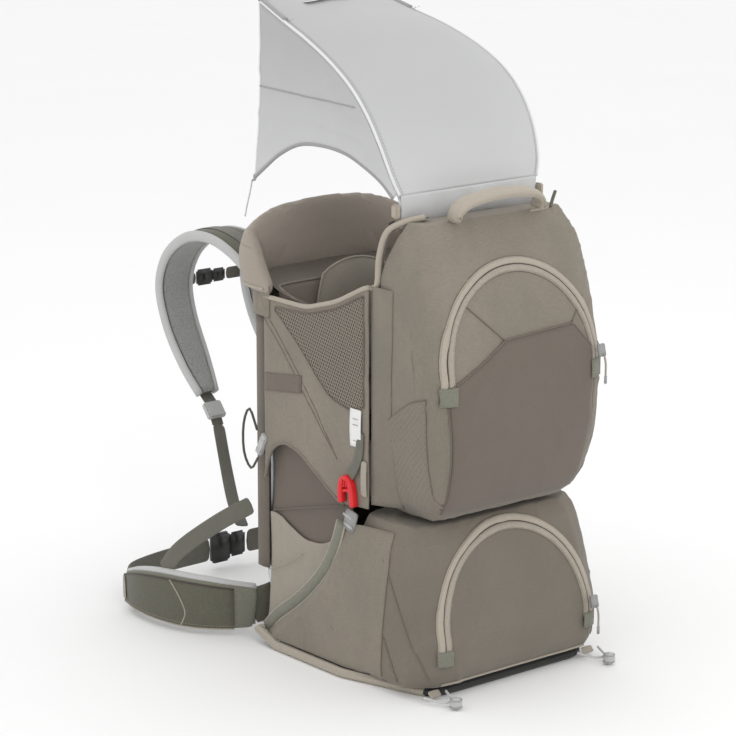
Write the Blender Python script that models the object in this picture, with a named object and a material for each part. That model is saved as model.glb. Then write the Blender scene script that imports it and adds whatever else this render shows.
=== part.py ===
"""Framed baby carrier backpack, in metres, standing on its fold-out base.

+Z is up, +Y is the wearer's side (shoulder harness) and -Y is the outer side (pack pockets).
The origin is the centre of the flat underside of the base board. The wearer's left is -X.
"""

from math import atan2, cos, pi, sin

import bmesh
import bpy
from mathutils import Vector

# Driving dimensions
FOLD_Y, FOLD_Z = 0.175, 0.020
BACK_Y = 0.196
FRAME_HALF_W, FRAME_TOP_Z = 0.136, 0.488
FRAME_R = 0.006
BASE_HALF_W, BASE_REAR_Y, BASE_R = 0.177, -0.150, 0.0065
ARM_X, ARM_R = 0.160, 0.009
SIDE_X, SIDE_T = 0.147, 0.004
BAG_FRONT_Y = -0.040
UPPER_ZIP_Z, UPPER_ZIP_R = 0.440, 0.130
LOWER_ZIP_Z, LOWER_ZIP_R = 0.084, 0.130
HOOD_PIVOT_Y, HOOD_PIVOT_Z = -0.062, 0.645
PACK_TOP_Z = 0.633
STRAP_X = 0.078
GAP = 0.0004

SIDES = (("left", -1.0), ("right", 1.0))


# Materials and object helpers
def material(name, colour, roughness, metallic=0.0):
    found = bpy.data.materials.new(name)
    found.use_nodes = True
    shader = found.node_tree.nodes["Principled BSDF"]
    shader.inputs["Base Color"].default_value = (*colour, 1.0)
    shader.inputs["Roughness"].default_value = roughness
    shader.inputs["Metallic"].default_value = metallic
    found.diffuse_color = (*colour, 1.0)
    return found


def clear_scene():
    for thing in list(bpy.data.objects):
        bpy.data.objects.remove(thing, do_unlink=True)


def finish_mesh(name, mesh, surface, smooth):
    mesh.materials.append(surface)
    for face in mesh.polygons:
        face.use_smooth = smooth
    made = bpy.data.objects.new(name, mesh)
    bpy.context.scene.collection.objects.link(made)
    return made


def loft(name, rings, surface, smooth=True, loop=False):
    """A closed solid through rings of points that all have the same count."""
    shape = bmesh.new()
    rows = [[shape.verts.new(point) for point in ring] for ring in rings]
    count = len(rows[0])
    last = len(rows) if loop else len(rows) - 1
    for i in range(last):
        here, there = rows[i], rows[(i + 1) % len(rows)]
        for j in range(count):
            k = (j + 1) % count
            shape.faces.new((here[j], here[k], there[k], there[j]))
    if not loop:
        shape.faces.new(rows[0])
        shape.faces.new(rows[-1])
    bmesh.ops.triangulate(shape, faces=[f for f in shape.faces if len(f.verts) > 4])
    bmesh.ops.recalc_face_normals(shape, faces=shape.faces)
    mesh = bpy.data.meshes.new(name)
    shape.to_mesh(mesh)
    shape.free()
    return finish_mesh(name, mesh, surface, smooth)


def plate(name, outline, x_low, x_high, surface):
    """A flat panel with a (y, z) outline, between two X planes."""
    rings = [[(x, y, z) for y, z in outline] for x in (x_low, x_high)]
    return loft(name, rings, surface, smooth=False)


def block(name, centre, size, surface, bevel=0.0, turn=(0.0, 0.0, 0.0)):
    """A box with rounded edges, its origin at its own centre."""
    shape = bmesh.new()
    bmesh.ops.create_cube(shape, size=1.0)
    bmesh.ops.scale(shape, vec=Vector(size), verts=shape.verts)
    if bevel:
        bmesh.ops.bevel(shape, geom=shape.edges[:], offset=bevel, segments=2, affect="EDGES")
    mesh = bpy.data.meshes.new(name)
    shape.to_mesh(mesh)
    shape.free()
    made = finish_mesh(name, mesh, surface, False)
    made.location = centre
    made.rotation_euler = turn
    return made


def tube(name, points, radius, surface, closed=False, resolution=2):
    """A round bar or cord along a path."""
    curve = bpy.data.curves.new(name, "CURVE")
    curve.dimensions = "3D"
    curve.bevel_depth = radius
    curve.bevel_resolution = resolution
    curve.use_fill_caps = not closed
    line = curve.splines.new("POLY")
    line.points.add(len(points) - 1)
    for knot, point in zip(line.points, points):
        knot.co = (*point, 1.0)
    line.use_cyclic_u = closed
    line.use_smooth = True
    curve.materials.append(surface)
    made = bpy.data.objects.new(name, curve)
    bpy.context.scene.collection.objects.link(made)
    return made


def rounded(corners, radius, steps=5, closed=False):
    """A path whose inner corners are replaced with arcs of this radius."""
    path = [Vector(c) for c in corners]
    out = []
    for i, corner in enumerate(path):
        if not closed and i in (0, len(path) - 1):
            out.append(corner)
            continue
        before = (path[i - 1] - corner).normalized()
        after = (path[(i + 1) % len(path)] - corner).normalized()
        half = before.angle(after) / 2
        reach = radius * cos(half) / sin(half)
        centre = corner + (before + after).normalized() * radius / sin(half)
        first = corner + before * reach - centre
        last = corner + after * reach - centre
        for j in range(steps + 1):
            out.append(centre + first.slerp(last, j / steps, first).normalized() * radius)
    return out


def smooth_path(knots, steps):
    """A Catmull-Rom path through the knots."""
    points = [Vector(k) for k in knots]
    points = [points[0] * 2 - points[1], *points, points[-1] * 2 - points[-2]]
    out = []
    for i in range(1, len(points) - 2):
        a, b, c, d = points[i - 1 : i + 3]
        for j in range(steps):
            t = j / steps
            out.append(
                0.5 * ((b * 2) + (c - a) * t + (a * 2 - b * 5 + c * 4 - d) * t**2)
                + 0.5 * (b * 3 - a - c * 3 + d) * t**3
            )
    out.append(points[-2])
    return out


def tangents(path):
    last = len(path) - 1
    return [(path[min(i + 1, last)] - path[max(i - 1, 0)]).normalized() for i in range(last + 1)]


def band(name, path, across, width, thick, surface, corner=0.0):
    """A flat strap along a path. across is the direction of its width, and corner rounds its edges."""
    path = [Vector(p) for p in path]
    rings = []
    for i, (point, along) in enumerate(zip(path, tangents(path))):
        side = Vector(across(i / (len(path) - 1)) if callable(across) else across)
        side = (side - along * side.dot(along)).normalized()
        normal = along.cross(side).normalized()
        w = (width(i / (len(path) - 1)) if callable(width) else width) / 2
        t = (thick(i / (len(path) - 1)) if callable(thick) else thick) / 2
        c = min(corner, t * 0.9, w * 0.9)
        if c:
            spots = [(w, -t + c), (w, t - c), (w - c, t), (c - w, t)]
            spots += [(-w, t - c), (-w, c - t), (c - w, -t), (w - c, -t)]
        else:
            spots = [(w, -t), (w, t), (-w, t), (-w, -t)]
        rings.append([point + side * a + normal * b for a, b in spots])
    return loft(name, rings, surface, smooth=bool(corner))


def between(table, value):
    """A value read from (position, value) rows by straight lines."""
    if value <= table[0][0]:
        return table[0][1]
    for (a, va), (b, vb) in zip(table, table[1:]):
        if value <= b:
            return va + (vb - va) * (value - a) / (b - a)
    return table[-1][1]


# Bag shapes: each is described by its front, rear and half width at a height
UPPER_REAR = (
    (0.236, -0.134),
    (0.252, -0.150),
    (0.275, -0.163),
    (0.330, -0.176),
    (0.440, -0.177),
    (0.575, -0.140),
    (PACK_TOP_Z, -0.112),
)
UPPER_FRONT = ((0.236, -0.046), (0.250, BAG_FRONT_Y), (0.560, BAG_FRONT_Y), (PACK_TOP_Z, -0.074))
UPPER_WIDTH = (
    (0.236, 0.118),
    (0.248, 0.127),
    (0.270, 0.136),
    (0.305, 0.143),
    (0.350, 0.1485),
    (0.540, 0.148),
    (0.595, 0.142),
    (PACK_TOP_Z, 0.122),
)
LOWER_REAR = ((0.0145, -0.158), (0.035, -0.170), (0.080, -0.172), (0.210, -0.138), (0.228, -0.124))
LOWER_FRONT = (
    (0.0145, 0.154),
    (0.022, 0.147),
    (0.045, 0.129),
    (0.070, 0.096),
    (0.098, 0.064),
    (0.136, 0.030),
    (0.176, 0.007),
    (0.212, -0.006),
    (0.228, -0.013),
)
LOWER_WIDTH = (
    (0.0145, 0.170),
    (0.026, 0.175),
    (0.080, 0.171),
    (0.150, 0.162),
    (0.200, 0.153),
    (0.228, 0.143),
)
REAR_TAPER = 0.04
UPPER_POWER, LOWER_POWER = 10.0, 12.0


def bag_ring(z, front, rear, width, power_front, power_rear, taper=0.0, count=32):
    """One level outline: a box with rounded corners that may narrow towards the rear."""
    y_front, y_rear, half = between(front, z), between(rear, z), between(width, z)
    middle, deep = (y_front + y_rear) / 2, (y_front - y_rear) / 2
    ring = []
    for i in range(count):
        angle = 2 * pi * (i + 0.5) / count
        power = power_front if sin(angle) > 0 else power_rear
        scale = (abs(cos(angle)) ** power + abs(sin(angle)) ** power) ** (-1 / power)
        x, y = half * scale * cos(angle), middle + deep * scale * sin(angle)
        narrow = taper * max(0.0, min(1.0, (middle - y) / deep))
        ring.append((x * (1 - narrow), y, z))
    return ring


def bag_rear_y(x, z, front, rear, width, power, taper=0.0):
    """The rear surface of a bag behind the point (x, z)."""
    ring = bag_ring(z, front, rear, width, power, power, taper, 256)
    middle = (between(front, z) + between(rear, z)) / 2
    behind = sorted((px, py) for px, py, _ in ring if px >= 0 and py < middle)
    return between(behind, abs(x))


def upper_rear_y(x, z):
    return bag_rear_y(x, z, UPPER_FRONT, UPPER_REAR, UPPER_WIDTH, UPPER_POWER)


def lower_rear_y(x, z):
    return bag_rear_y(x, z, LOWER_FRONT, LOWER_REAR, LOWER_WIDTH, LOWER_POWER, REAR_TAPER)


def zip_arch(name, centre_z, radius, reach_low, rear_y, surface, lift=0.0022):
    """The welted zip: an arch with straight legs, lying on a bag's rear face."""
    half, thick = 0.010, 0.0035
    turns = [pi * i / 20 for i in range(21)]
    arch = [(radius * cos(turn), centre_z + radius * sin(turn)) for turn in turns]
    stops = [(radius, reach_low), *arch, (-radius, reach_low)]
    rings = []
    for i, (x, z) in enumerate(stops):
        if i in (0, len(stops) - 1):
            out_x, out_z = (1.0 if i == 0 else -1.0), 0.0
        else:
            out_x, out_z = x / radius, (z - centre_z) / radius
        inner = (x - out_x * half, z - out_z * half)
        outer = (x + out_x * half * 0.85, z + out_z * half * 0.85)
        low = [(p[0], rear_y(*p) - lift, p[1]) for p in (inner, outer)]
        high = [(p[0], p[1] - thick, p[2]) for p in low]
        rings.append([low[0], low[1], high[1], high[0]])
    return loft(name, rings, surface, smooth=False)


# Hood curves: the seam between the crown and each side, and the lower hem
HOOD_SEAM = (
    (0.256, 0.884),
    (0.190, 0.864),
    (0.130, 0.847),
    (0.070, 0.824),
    (0.022, 0.797),
    (-0.012, 0.765),
    (-0.036, 0.728),
    (-0.052, 0.690),
    (-0.059, 0.664),
)
HOOD_HEM = (
    (0.246, 0.648),
    (0.222, 0.664),
    (0.185, 0.688),
    (0.140, 0.707),
    (0.090, 0.712),
    (0.040, 0.708),
    (0.000, 0.695),
    (-0.033, 0.679),
    (-0.054, 0.661),
)
HOOD_HALF = (0.102, 0.113, 0.123, 0.131, 0.1355, 0.1365, 0.1345, 0.129, 0.120)
HOOD_CROWN = (0.008, 0.012, 0.016, 0.019, 0.020, 0.020, 0.018, 0.015, 0.011)


def build():
    clear_scene()
    fabric = material("main_fabric", (0.262, 0.227, 0.191), 0.85)
    olive = material("olive_fabric", (0.135, 0.130, 0.102), 0.85)
    trim = material("light_trim", (0.365, 0.323, 0.262), 0.8)
    seat_cloth = material("seat_fabric", (0.305, 0.270, 0.223), 0.85)
    mesh_cloth = material("mesh_fabric", (0.42, 0.42, 0.41), 0.9)
    hood_cloth = material("hood_fabric", (0.60, 0.60, 0.60), 0.75)
    webbing = material("webbing", (0.15, 0.145, 0.108), 0.75)
    grey = material("grey_plastic", (0.33, 0.33, 0.33), 0.45)
    black = material("black_plastic", (0.03, 0.03, 0.03), 0.45)
    red = material("red_plastic", (0.68, 0.02, 0.025), 0.4)
    alloy = material("frame_alloy", (0.55, 0.56, 0.57), 0.35, 1.0)
    board = material("board_plastic", (0.09, 0.085, 0.08), 0.6)
    white = material("label_cloth", (0.75, 0.75, 0.75), 0.7)
    cord = material("cord", (0.60, 0.60, 0.59), 0.8)

    back_frame(alloy, board, mesh_cloth, trim)
    cockpit(fabric, seat_cloth, white)
    base(alloy, board, fabric, trim, cord, grey)
    arms_and_hooks(trim, webbing, red, grey)
    rear_pack(fabric, trim, black, grey)
    hood(hood_cloth, alloy, cord)
    harness(mesh_cloth, olive, webbing, grey)
    hip_belt(olive, webbing, grey)


def back_frame(alloy, board, mesh_cloth, trim):
    corners = [
        (-FRAME_HALF_W, FOLD_Y, FOLD_Z),
        (FRAME_HALF_W, FOLD_Y, FOLD_Z),
        (FRAME_HALF_W, BACK_Y, FOLD_Z + 0.070),
        (FRAME_HALF_W, BACK_Y, FRAME_TOP_Z),
        (-FRAME_HALF_W, BACK_Y, FRAME_TOP_Z),
        (-FRAME_HALF_W, BACK_Y, FOLD_Z + 0.070),
    ]
    tube("back_frame_tube", rounded(corners, 0.020, 4, closed=True), FRAME_R, alloy, closed=True)

    half = FRAME_HALF_W - FRAME_R - 0.001
    low, high, chamfer = FOLD_Z + 0.060, FRAME_TOP_Z - 0.010, 0.020
    right_side = [(half, low), (half, high - chamfer), (half - chamfer, high)]
    outline = right_side + [(-x, z) for x, z in reversed(right_side)]
    rings = [[(x, y, z) for x, z in outline] for y in (BACK_Y - 0.004, BACK_Y + 0.004)]
    loft("back_board", rings, board, smooth=False)

    cushion("back_mesh_pad", 0.112, 0.262, 0.478, (0.0050, 0.014, 0.020), 0.008, mesh_cloth)

    # The padded collar round the wearer's side of the cockpit, higher in the middle of the back
    knots = [
        (-0.150, 0.172),
        (-0.153, 0.192),
        (-0.150, 0.215),
        (-0.137, 0.238),
        (-0.090, 0.249),
        (0.0, 0.252),
    ]
    knots += [(-x, y) for x, y in reversed(knots[:-1])]
    path = smooth_path([(x, y, 0.0) for x, y in knots], 3)
    rings = []
    for point, along in zip(path, tangents(path)):
        middle = 1 - min(1.0, abs(point.x) / 0.152) ** 3
        depth = sin(pi / 2 * min(1.0, max(0.0, (point.y - 0.172) / 0.050)))
        tall, thick = 0.008 + 0.030 * depth + 0.019 * middle, 0.007 + 0.008 * depth
        out = along.cross(Vector((0, 0, 1))).normalized()
        foot = point + Vector((0, 0, FRAME_TOP_Z + 0.009 + tall))
        turns = [2 * pi * j / 14 for j in range(14)]
        rings.append([foot + out * thick * cos(t) + Vector((0, 0, tall * sin(t))) for t in turns])
    loft("collar_pad", rings, trim)


def cushion(name, half, z_low, z_high, depths, shrink, surface):
    """A flat pad on the wearer's side of the back board, its outer face smaller by shrink all round."""
    rings = []
    for depth, inset in zip(depths, (0.0, 0.0, shrink)):
        w, z0, z1 = half - inset, z_low + inset, z_high - inset
        rings.append([(x, BACK_Y + depth, z) for x, z in ((-w, z0), (w, z0), (w, z1), (-w, z1))])
    loft(name, rings, surface, smooth=False)


def cockpit(fabric, seat_cloth, white):
    arch = [
        (0.187, 0.236),
        (0.180, 0.262),
        (0.166, 0.283),
        (0.146, 0.293),
        (0.124, 0.292),
        (0.098, 0.282),
        (0.066, 0.262),
        (0.034, 0.243),
        (0.012, 0.236),
    ]
    front = BAG_FRONT_Y + 0.0015
    outline = [(0.187, 0.494), (0.092, 0.494), (0.030, 0.512), (front, 0.545), (front, 0.240)]
    outline += reversed(arch)
    for tag, side in SIDES:
        low, high = sorted((side * (SIDE_X - SIDE_T / 2), side * (SIDE_X + SIDE_T / 2)))
        plate(f"side_panel_{tag}", outline, low, high, fabric)

        x_low, x_high = sorted((side * 0.1435, side * 0.1465))
        flap = [(0.186, 0.205), (0.020, 0.222), (0.022, 0.180), (0.050, 0.140)]
        flap += [(0.100, 0.100), (0.150, 0.068), (0.184, 0.056)]
        plate(f"seat_flap_{tag}", flap, x_low, x_high, seat_cloth)
    tag_box = [(-0.004, 0.322), (-0.027, 0.323), (-0.027, 0.374), (-0.004, 0.373)]
    edge = SIDE_X + SIDE_T / 2 + GAP
    plate("side_label", tag_box, -edge - 0.0012, -edge, white)

    # The saddle seat: distance from the pack, half width, underside and top of each section
    sections = (
        (0.030, 0.050, 0.214, 0.232),
        (0.060, 0.074, 0.206, 0.232),
        (0.100, 0.080, 0.202, 0.230),
        (0.140, 0.072, 0.206, 0.238),
        (0.172, 0.052, 0.214, 0.262),
        (0.184, 0.044, 0.224, 0.270),
    )
    turns = [2 * pi * j / 16 for j in range(16)]
    rings = []
    for y, half, low, high in sections:
        middle, tall = (low + high) / 2, (high - low) / 2
        rings.append([(half * cos(turn), y, middle + tall * sin(turn)) for turn in turns])
    loft("seat_pad", rings, seat_cloth)


def base(alloy, board, fabric, trim, cord, grey):
    rail = 0.0065
    corners = [
        (-0.1700, FOLD_Y, FOLD_Z),
        (-BASE_HALF_W, FOLD_Y, FOLD_Z),
        (-BASE_HALF_W, FOLD_Y - 0.040, rail),
        (-BASE_HALF_W, -0.010, rail),
        (-0.136, BASE_REAR_Y, rail),
        (0.136, BASE_REAR_Y, rail),
        (BASE_HALF_W, -0.010, rail),
        (BASE_HALF_W, FOLD_Y - 0.040, rail),
        (BASE_HALF_W, FOLD_Y, FOLD_Z),
        (0.1700, FOLD_Y, FOLD_Z),
    ]
    path = [Vector(corners[0]), *rounded(corners[1:-1], 0.030, 4), Vector(corners[-1])]
    tube("base_hoop", path, BASE_R, alloy)

    right_side = [(0.165, 0.150), (0.165, -0.010), (0.125, -0.139)]
    outline = right_side + [(-x, y) for x, y in reversed(right_side)]
    loft("base_board", [[(x, y, z) for x, y in outline] for z in (0.0, 0.005)], board, smooth=False)

    levels = (0.0145, 0.022, 0.034, 0.055, 0.080, 0.105, 0.130, 0.155, 0.180, 0.205, 0.220, 0.228)
    tables = (LOWER_FRONT, LOWER_REAR, LOWER_WIDTH)
    rings = [bag_ring(z, *tables, 9.0, LOWER_POWER, REAR_TAPER) for z in levels]
    loft("lower_bag", rings, fabric)
    zip_arch("lower_zip_track", LOWER_ZIP_Z, LOWER_ZIP_R, 0.066, lower_rear_y, trim)
    for tag, side in SIDES:
        cord_x = 0.140 * side
        knots = [
            (cord_x - 0.022, -0.163, 0.010),
            (cord_x - 0.010, -0.182, 0.006),
            (cord_x, -0.190, 0.007),
            (cord_x + 0.010, -0.184, 0.006),
            (cord_x + 0.018, -0.162, 0.010),
        ]
        tube(f"gear_cord_{tag}", smooth_path(knots, 5), 0.0018, cord)
        ball = bmesh.new()
        bmesh.ops.create_uvsphere(ball, u_segments=16, v_segments=10, radius=0.0085)
        mesh = bpy.data.meshes.new(f"cord_ball_{tag}")
        ball.to_mesh(mesh)
        ball.free()
        made = finish_mesh(f"cord_ball_{tag}", mesh, cord, True)
        made.location = (cord_x, -0.203, 0.0087)

    zip_slider("lower_zip_slider", LOWER_ZIP_Z, LOWER_ZIP_R, lower_rear_y, grey)


def zip_slider(name, centre_z, radius, rear_y, grey):
    """A slider at the right end of its arch. Its origin is the arch's centre, which it travels round."""
    tilt = atan2(rear_y(0, centre_z + radius) - rear_y(radius, centre_z), radius)
    y_end = rear_y(radius, centre_z)
    made = block(name, (0, 0, 0), (0.012, 0.0030, 0.030), grey, 0.001)
    for vertex in made.data.vertices:
        vertex.co += Vector((radius, -0.0120, 0))
    made.location = (0, y_end, centre_z)
    made.rotation_euler = (-tilt, 0, 0)


def arms_and_hooks(trim, webbing, red, grey):
    for tag, side in SIDES:
        x = side * ARM_X
        curve = [(0.150, 0.045), (0.116, 0.070), (0.082, 0.098), (0.046, 0.136), (0.022, 0.176)]
        knots = [(x, y, z) for y, z in [(FOLD_Y, FOLD_Z), *curve, (0.008, 0.212)]]
        tube(f"seat_arm_{tag}", smooth_path(knots, 3), ARM_R, trim, resolution=3)

        # The hook's outline: two legs under a solid head
        front_leg = [(0.010, 0.2370), (0.014, 0.2400), (0.012, 0.2560)]
        head = [(0.008, 0.2760), (0.000, 0.2800), (-0.010, 0.2790), (-0.013, 0.2700)]
        rear_leg = [(-0.015, 0.2520), (-0.018, 0.2380), (-0.014, 0.2350), (-0.0105, 0.2380)]
        notch = [(-0.0085, 0.2540), (0.0050, 0.2550), (0.0060, 0.2400)]
        hook = front_leg + head + rear_leg + notch
        low, high = sorted((side * 0.1560, side * 0.1640))
        plate(f"red_hook_{tag}", hook, low, high, red)

        loop = [
            (x * 1.005, 0.196, 0.302),
            (x * 1.01, 0.212, 0.330),
            (x * 1.01, 0.226, 0.306),
            (x * 1.01, 0.226, 0.266),
            (x, 0.212, 0.244),
            (x, 0.196, 0.262),
        ]
        tube(f"cinch_loop_{tag}", smooth_path(loop, 3), 0.0018, webbing)
        buckle = (side * 0.1537, 0.1940, 0.281)
        block(f"cinch_buckle_{tag}", buckle, (0.008, 0.012, 0.034), grey, 0.0015, (0.5, 0, 0))


def rear_pack(fabric, trim, black, grey):
    levels = (0.236, 0.250, 0.270, 0.300, 0.340, 0.390, 0.440, 0.480, 0.520, 0.560, 0.585, 0.607, 0.623)
    tables = (UPPER_FRONT, UPPER_REAR, UPPER_WIDTH)
    rings = [bag_ring(z, *tables, 9.0, UPPER_POWER) for z in (*levels, PACK_TOP_Z)]
    loft("upper_bag", rings, fabric)
    zip_arch("upper_zip_track", UPPER_ZIP_Z, UPPER_ZIP_R, 0.430, upper_rear_y, trim)
    zip_slider("upper_zip_slider", UPPER_ZIP_Z, UPPER_ZIP_R, upper_rear_y, grey)
    for tag, side in SIDES:
        socket = (side * 0.127, HOOD_PIVOT_Y, HOOD_PIVOT_Z)
        block(f"pole_socket_{tag}", socket, (0.008, 0.012, 0.018), black, 0.002)

    # The grab handle is a padded arch on two feet, at the top of the pack
    rise = ((-0.074, -0.118, 0.003), (-0.072, -0.121, 0.015), (-0.052, -0.125, 0.0265), (0.0, -0.128, 0.032))
    knots = [(x, y, PACK_TOP_Z + z) for x, y, z in rise]
    knots += [(-x, y, z) for x, y, z in reversed(knots[:-1])]
    band("grab_handle", smooth_path(knots, 4), (0, 1, 0.2), 0.026, 0.009, trim, 0.003)


def hood(hood_cloth, alloy, cord):
    seam = [Vector((0, y, z)) for y, z in HOOD_SEAM]
    ups = [along.cross(Vector((1, 0, 0))).normalized() for along in tangents(seam)]
    thick = 0.0016
    rings = []
    for point, up, half, crown in zip(seam, ups, HOOD_HALF, HOOD_CROWN):
        outer = []
        for i in range(11):
            s = -1.0 + 2.0 * i / 10
            outer.append(point + Vector((half * s, 0, 0)) + up * (crown * (1 - s * s) + 0.004))
        rings.append(outer + [p - up * thick for p in reversed(outer)])
    loft("hood_crown", rings, hood_cloth)

    for tag, side in SIDES:
        rings = []
        for point, up, half, (hem_y, hem_z) in zip(seam, ups, HOOD_HALF, HOOD_HEM):
            top = point + up * 0.002 + Vector((side * (half + 0.0015), 0, 0))
            low = Vector((side * (half * 0.2 + 0.124 * 0.8 + 0.0015), hem_y, hem_z))
            column = [top.lerp(low, share / 4) for share in range(5)]
            rings.append(column + [p - Vector((side * thick, 0, 0)) for p in reversed(column)])
        loft(f"hood_drop_{tag}", rings, hood_cloth)

        pole = []
        for point, up, half in zip(seam, ups, HOOD_HALF):
            pole.append(point - up * 0.005 + Vector((side * (half - 0.006), 0, 0)))
        pole.append(Vector((side * 0.1155, HOOD_PIVOT_Y + 0.001, HOOD_PIVOT_Z)))
        tube(f"hood_pole_{tag}", smooth_path(pole, 3), 0.0030, alloy)
        x = side * 0.1240
        line = [(x, 0.2500, 0.6440), (x * 1.03, 0.2505, 0.6270), (x * 1.08, 0.2495, 0.6090)]
        line.append((x * 1.12, 0.2480, 0.5940))
        tube(f"hood_guy_cord_{tag}", smooth_path(line, 3), 0.0010, cord)


# Harness curves: a shoulder strap's middle line in (y, z), and the widths of the padded pieces
STRAP_LINE = (
    (0.240, 0.452),
    (0.262, 0.492),
    (0.310, 0.524),
    (0.370, 0.541),
    (0.430, 0.534),
    (0.482, 0.500),
    (0.505, 0.450),
    (0.492, 0.395),
    (0.458, 0.340),
    (0.425, 0.296),
)


def strap_width(share):
    return 0.070 - 0.020 * share


def wing_height(share):
    return 0.062 + 0.022 * sin(pi * share) - 0.014 * share


def harness(mesh_cloth, olive, webbing, grey):
    block("yoke_pad", (0, 0.2265, 0.438), (0.190, 0.012, 0.090), olive, 0.004)

    for tag, side in SIDES:
        x = side * STRAP_X
        knots = [(x, y, z) for y, z in STRAP_LINE]
        path = smooth_path(knots, 3)
        band(f"shoulder_strap_{tag}", path, (1, 0, 0), strap_width, 0.016, mesh_cloth, 0.006)
        lock = (x, 0.4080, 0.2745)
        block(f"strap_ladder_lock_{tag}", lock, (0.030, 0.010, 0.026), grey, 0.002, (-0.70, 0, 0))
        knots = [(x, 0.3985, 0.2560), (side * 0.100, 0.350, 0.200), (side * 0.125, 0.300, 0.165)]
        knots.append((side * 0.146, 0.252, 0.146))
        band(f"strap_webbing_{tag}", smooth_path(knots, 3), (1, 0, 0), 0.020, 0.0016, webbing)

    # The sternum strap in two halves that meet at the buckle
    y, z = 0.5175, 0.447
    block("sternum_strap_left", (-0.0575, y, z), (0.060, 0.0020, 0.018), webbing)
    block("sternum_buckle_left", (-0.0125, y, z), (0.028, 0.009, 0.024), grey, 0.002)
    block("sternum_strap_right", (0.0575, y, z), (0.060, 0.0020, 0.018), webbing)
    block("sternum_buckle_right", (0.0140, y, z), (0.0235, 0.007, 0.020), grey, 0.002)


def hip_belt(olive, webbing, grey):
    cushion("lumbar_pad", 0.115, 0.105, 0.254, (0.0050, 0.020, 0.032), 0.012, olive)

    for tag, side in SIDES:
        knots = [
            (side * 0.150, 0.216, 0.036),
            (side * 0.195, 0.238, 0.042),
            (side * 0.226, 0.276, 0.045),
            (side * 0.240, 0.325, 0.045),
            (side * 0.240, 0.374, 0.041),
            (side * 0.228, 0.418, 0.033),
        ]
        band(f"hip_wing_{tag}", smooth_path(knots, 3), (0, 0, 1), wing_height, 0.016, olive, 0.006)
        knots = [
            (side * 0.2225, 0.4320, 0.034),
            (side * 0.190, 0.462, 0.034),
            (side * 0.120, 0.479, 0.034),
            (side * 0.034, 0.4825, 0.034),
        ]
        band(f"hip_webbing_{tag}", smooth_path(knots, 4), (0, 0, 1), 0.036, 0.0020, webbing)
        low = [(side * 0.1500, 0.2240, 0.186), (side * 0.184, 0.258, 0.158), (side * 0.220, 0.306, 0.116)]
        band(f"hip_lift_strap_{tag}", smooth_path(low, 3), (0, 0.5, 0.6), 0.038, 0.0030, olive)
    block("hip_buckle_left", (-0.0155, 0.4825, 0.034), (0.034, 0.014, 0.046), grey, 0.003)
    block("hip_buckle_right", (0.0170, 0.4825, 0.034), (0.029, 0.010, 0.038), grey, 0.003)


build()
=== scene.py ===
"""Looks of a framed baby carrier backpack, in metres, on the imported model's frame.

+Z is up, +Y is the wearer's side and -Y the pocket side. The wearer's left is -X.
"""

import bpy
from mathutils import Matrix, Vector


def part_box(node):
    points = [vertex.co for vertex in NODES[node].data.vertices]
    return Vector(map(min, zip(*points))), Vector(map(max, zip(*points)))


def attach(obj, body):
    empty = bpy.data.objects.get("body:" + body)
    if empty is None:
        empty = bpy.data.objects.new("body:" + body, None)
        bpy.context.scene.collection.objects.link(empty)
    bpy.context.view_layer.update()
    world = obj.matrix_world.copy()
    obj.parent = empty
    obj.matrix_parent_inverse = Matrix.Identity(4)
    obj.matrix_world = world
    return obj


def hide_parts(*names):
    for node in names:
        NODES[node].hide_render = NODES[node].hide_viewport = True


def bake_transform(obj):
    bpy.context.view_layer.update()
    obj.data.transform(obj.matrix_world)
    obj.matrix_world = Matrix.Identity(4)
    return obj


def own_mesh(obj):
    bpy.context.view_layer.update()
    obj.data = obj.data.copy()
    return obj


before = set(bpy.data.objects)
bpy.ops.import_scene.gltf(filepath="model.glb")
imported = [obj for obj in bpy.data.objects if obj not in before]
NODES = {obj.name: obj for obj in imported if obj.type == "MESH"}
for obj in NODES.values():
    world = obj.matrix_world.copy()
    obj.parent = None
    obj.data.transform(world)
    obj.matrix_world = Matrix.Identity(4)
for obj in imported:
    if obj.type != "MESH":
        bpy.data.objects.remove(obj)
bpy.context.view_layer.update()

from math import cos, pi, radians, sin

import bmesh
import bpy
from mathutils import Euler, Matrix, Vector, noise
from mathutils.bvhtree import BVHTree

SIDES = (("left", -1.0), ("right", 1.0))

# Colours as the shaders take them, in linear light
TAUPE = (0.224, 0.194, 0.155)
TAUPE_DARK = (0.146, 0.119, 0.097)
TAUPE_GREEN = (0.148, 0.140, 0.110)
TRIM = (0.405, 0.360, 0.295)
SEAT = (0.335, 0.300, 0.250)
OLIVE = (0.105, 0.102, 0.074)
OLIVE_GREY = (0.190, 0.190, 0.150)
WEB = (0.128, 0.124, 0.098)
HOOD_EDGE = (0.740, 0.740, 0.740)
PALE_GREY = (0.500, 0.500, 0.495)
MID_GREY = (0.330, 0.330, 0.325)
RED = (0.690, 0.016, 0.022)
BLACK = (0.018, 0.018, 0.017)
# The collar and the lining: the body's taupe lightened as painted light, offsetting the shade inside the
# cockpit
COLLAR = (0.345, 0.298, 0.250)
LINING = (0.285, 0.245, 0.205)
# Painted shade for the holes of the net windows
NET_HOLE_SHADE = (0.036, 0.029, 0.023)
CORD_GREY = (0.560, 0.560, 0.550)
LABEL_WHITE = (0.780, 0.780, 0.770)
ALLOY = (0.600, 0.610, 0.620)
BOARD = (0.060, 0.055, 0.050)

# Planes that the parts share: the cockpit's ends, its side cloths, the seat arms and the shoulder straps
COCKPIT_REAR_Y = -0.0385
BACK_BOARD_Y = 0.187
SIDE_X = 0.1532
ARM_X = 0.160
STRAP_X = 0.078


# Values, points and curves
def spread(start, end, steps):
    """Evenly spaced values from start to end."""
    return [start + (end - start) * i / steps for i in range(steps + 1)]


def clamped(value):
    return min(1.0, max(0.0, value))


def on_side(side, *knots):
    """Knots given for the wearer's right, moved to this side."""
    return [Vector((side * x, y, z)) for x, y, z in knots]


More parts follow.
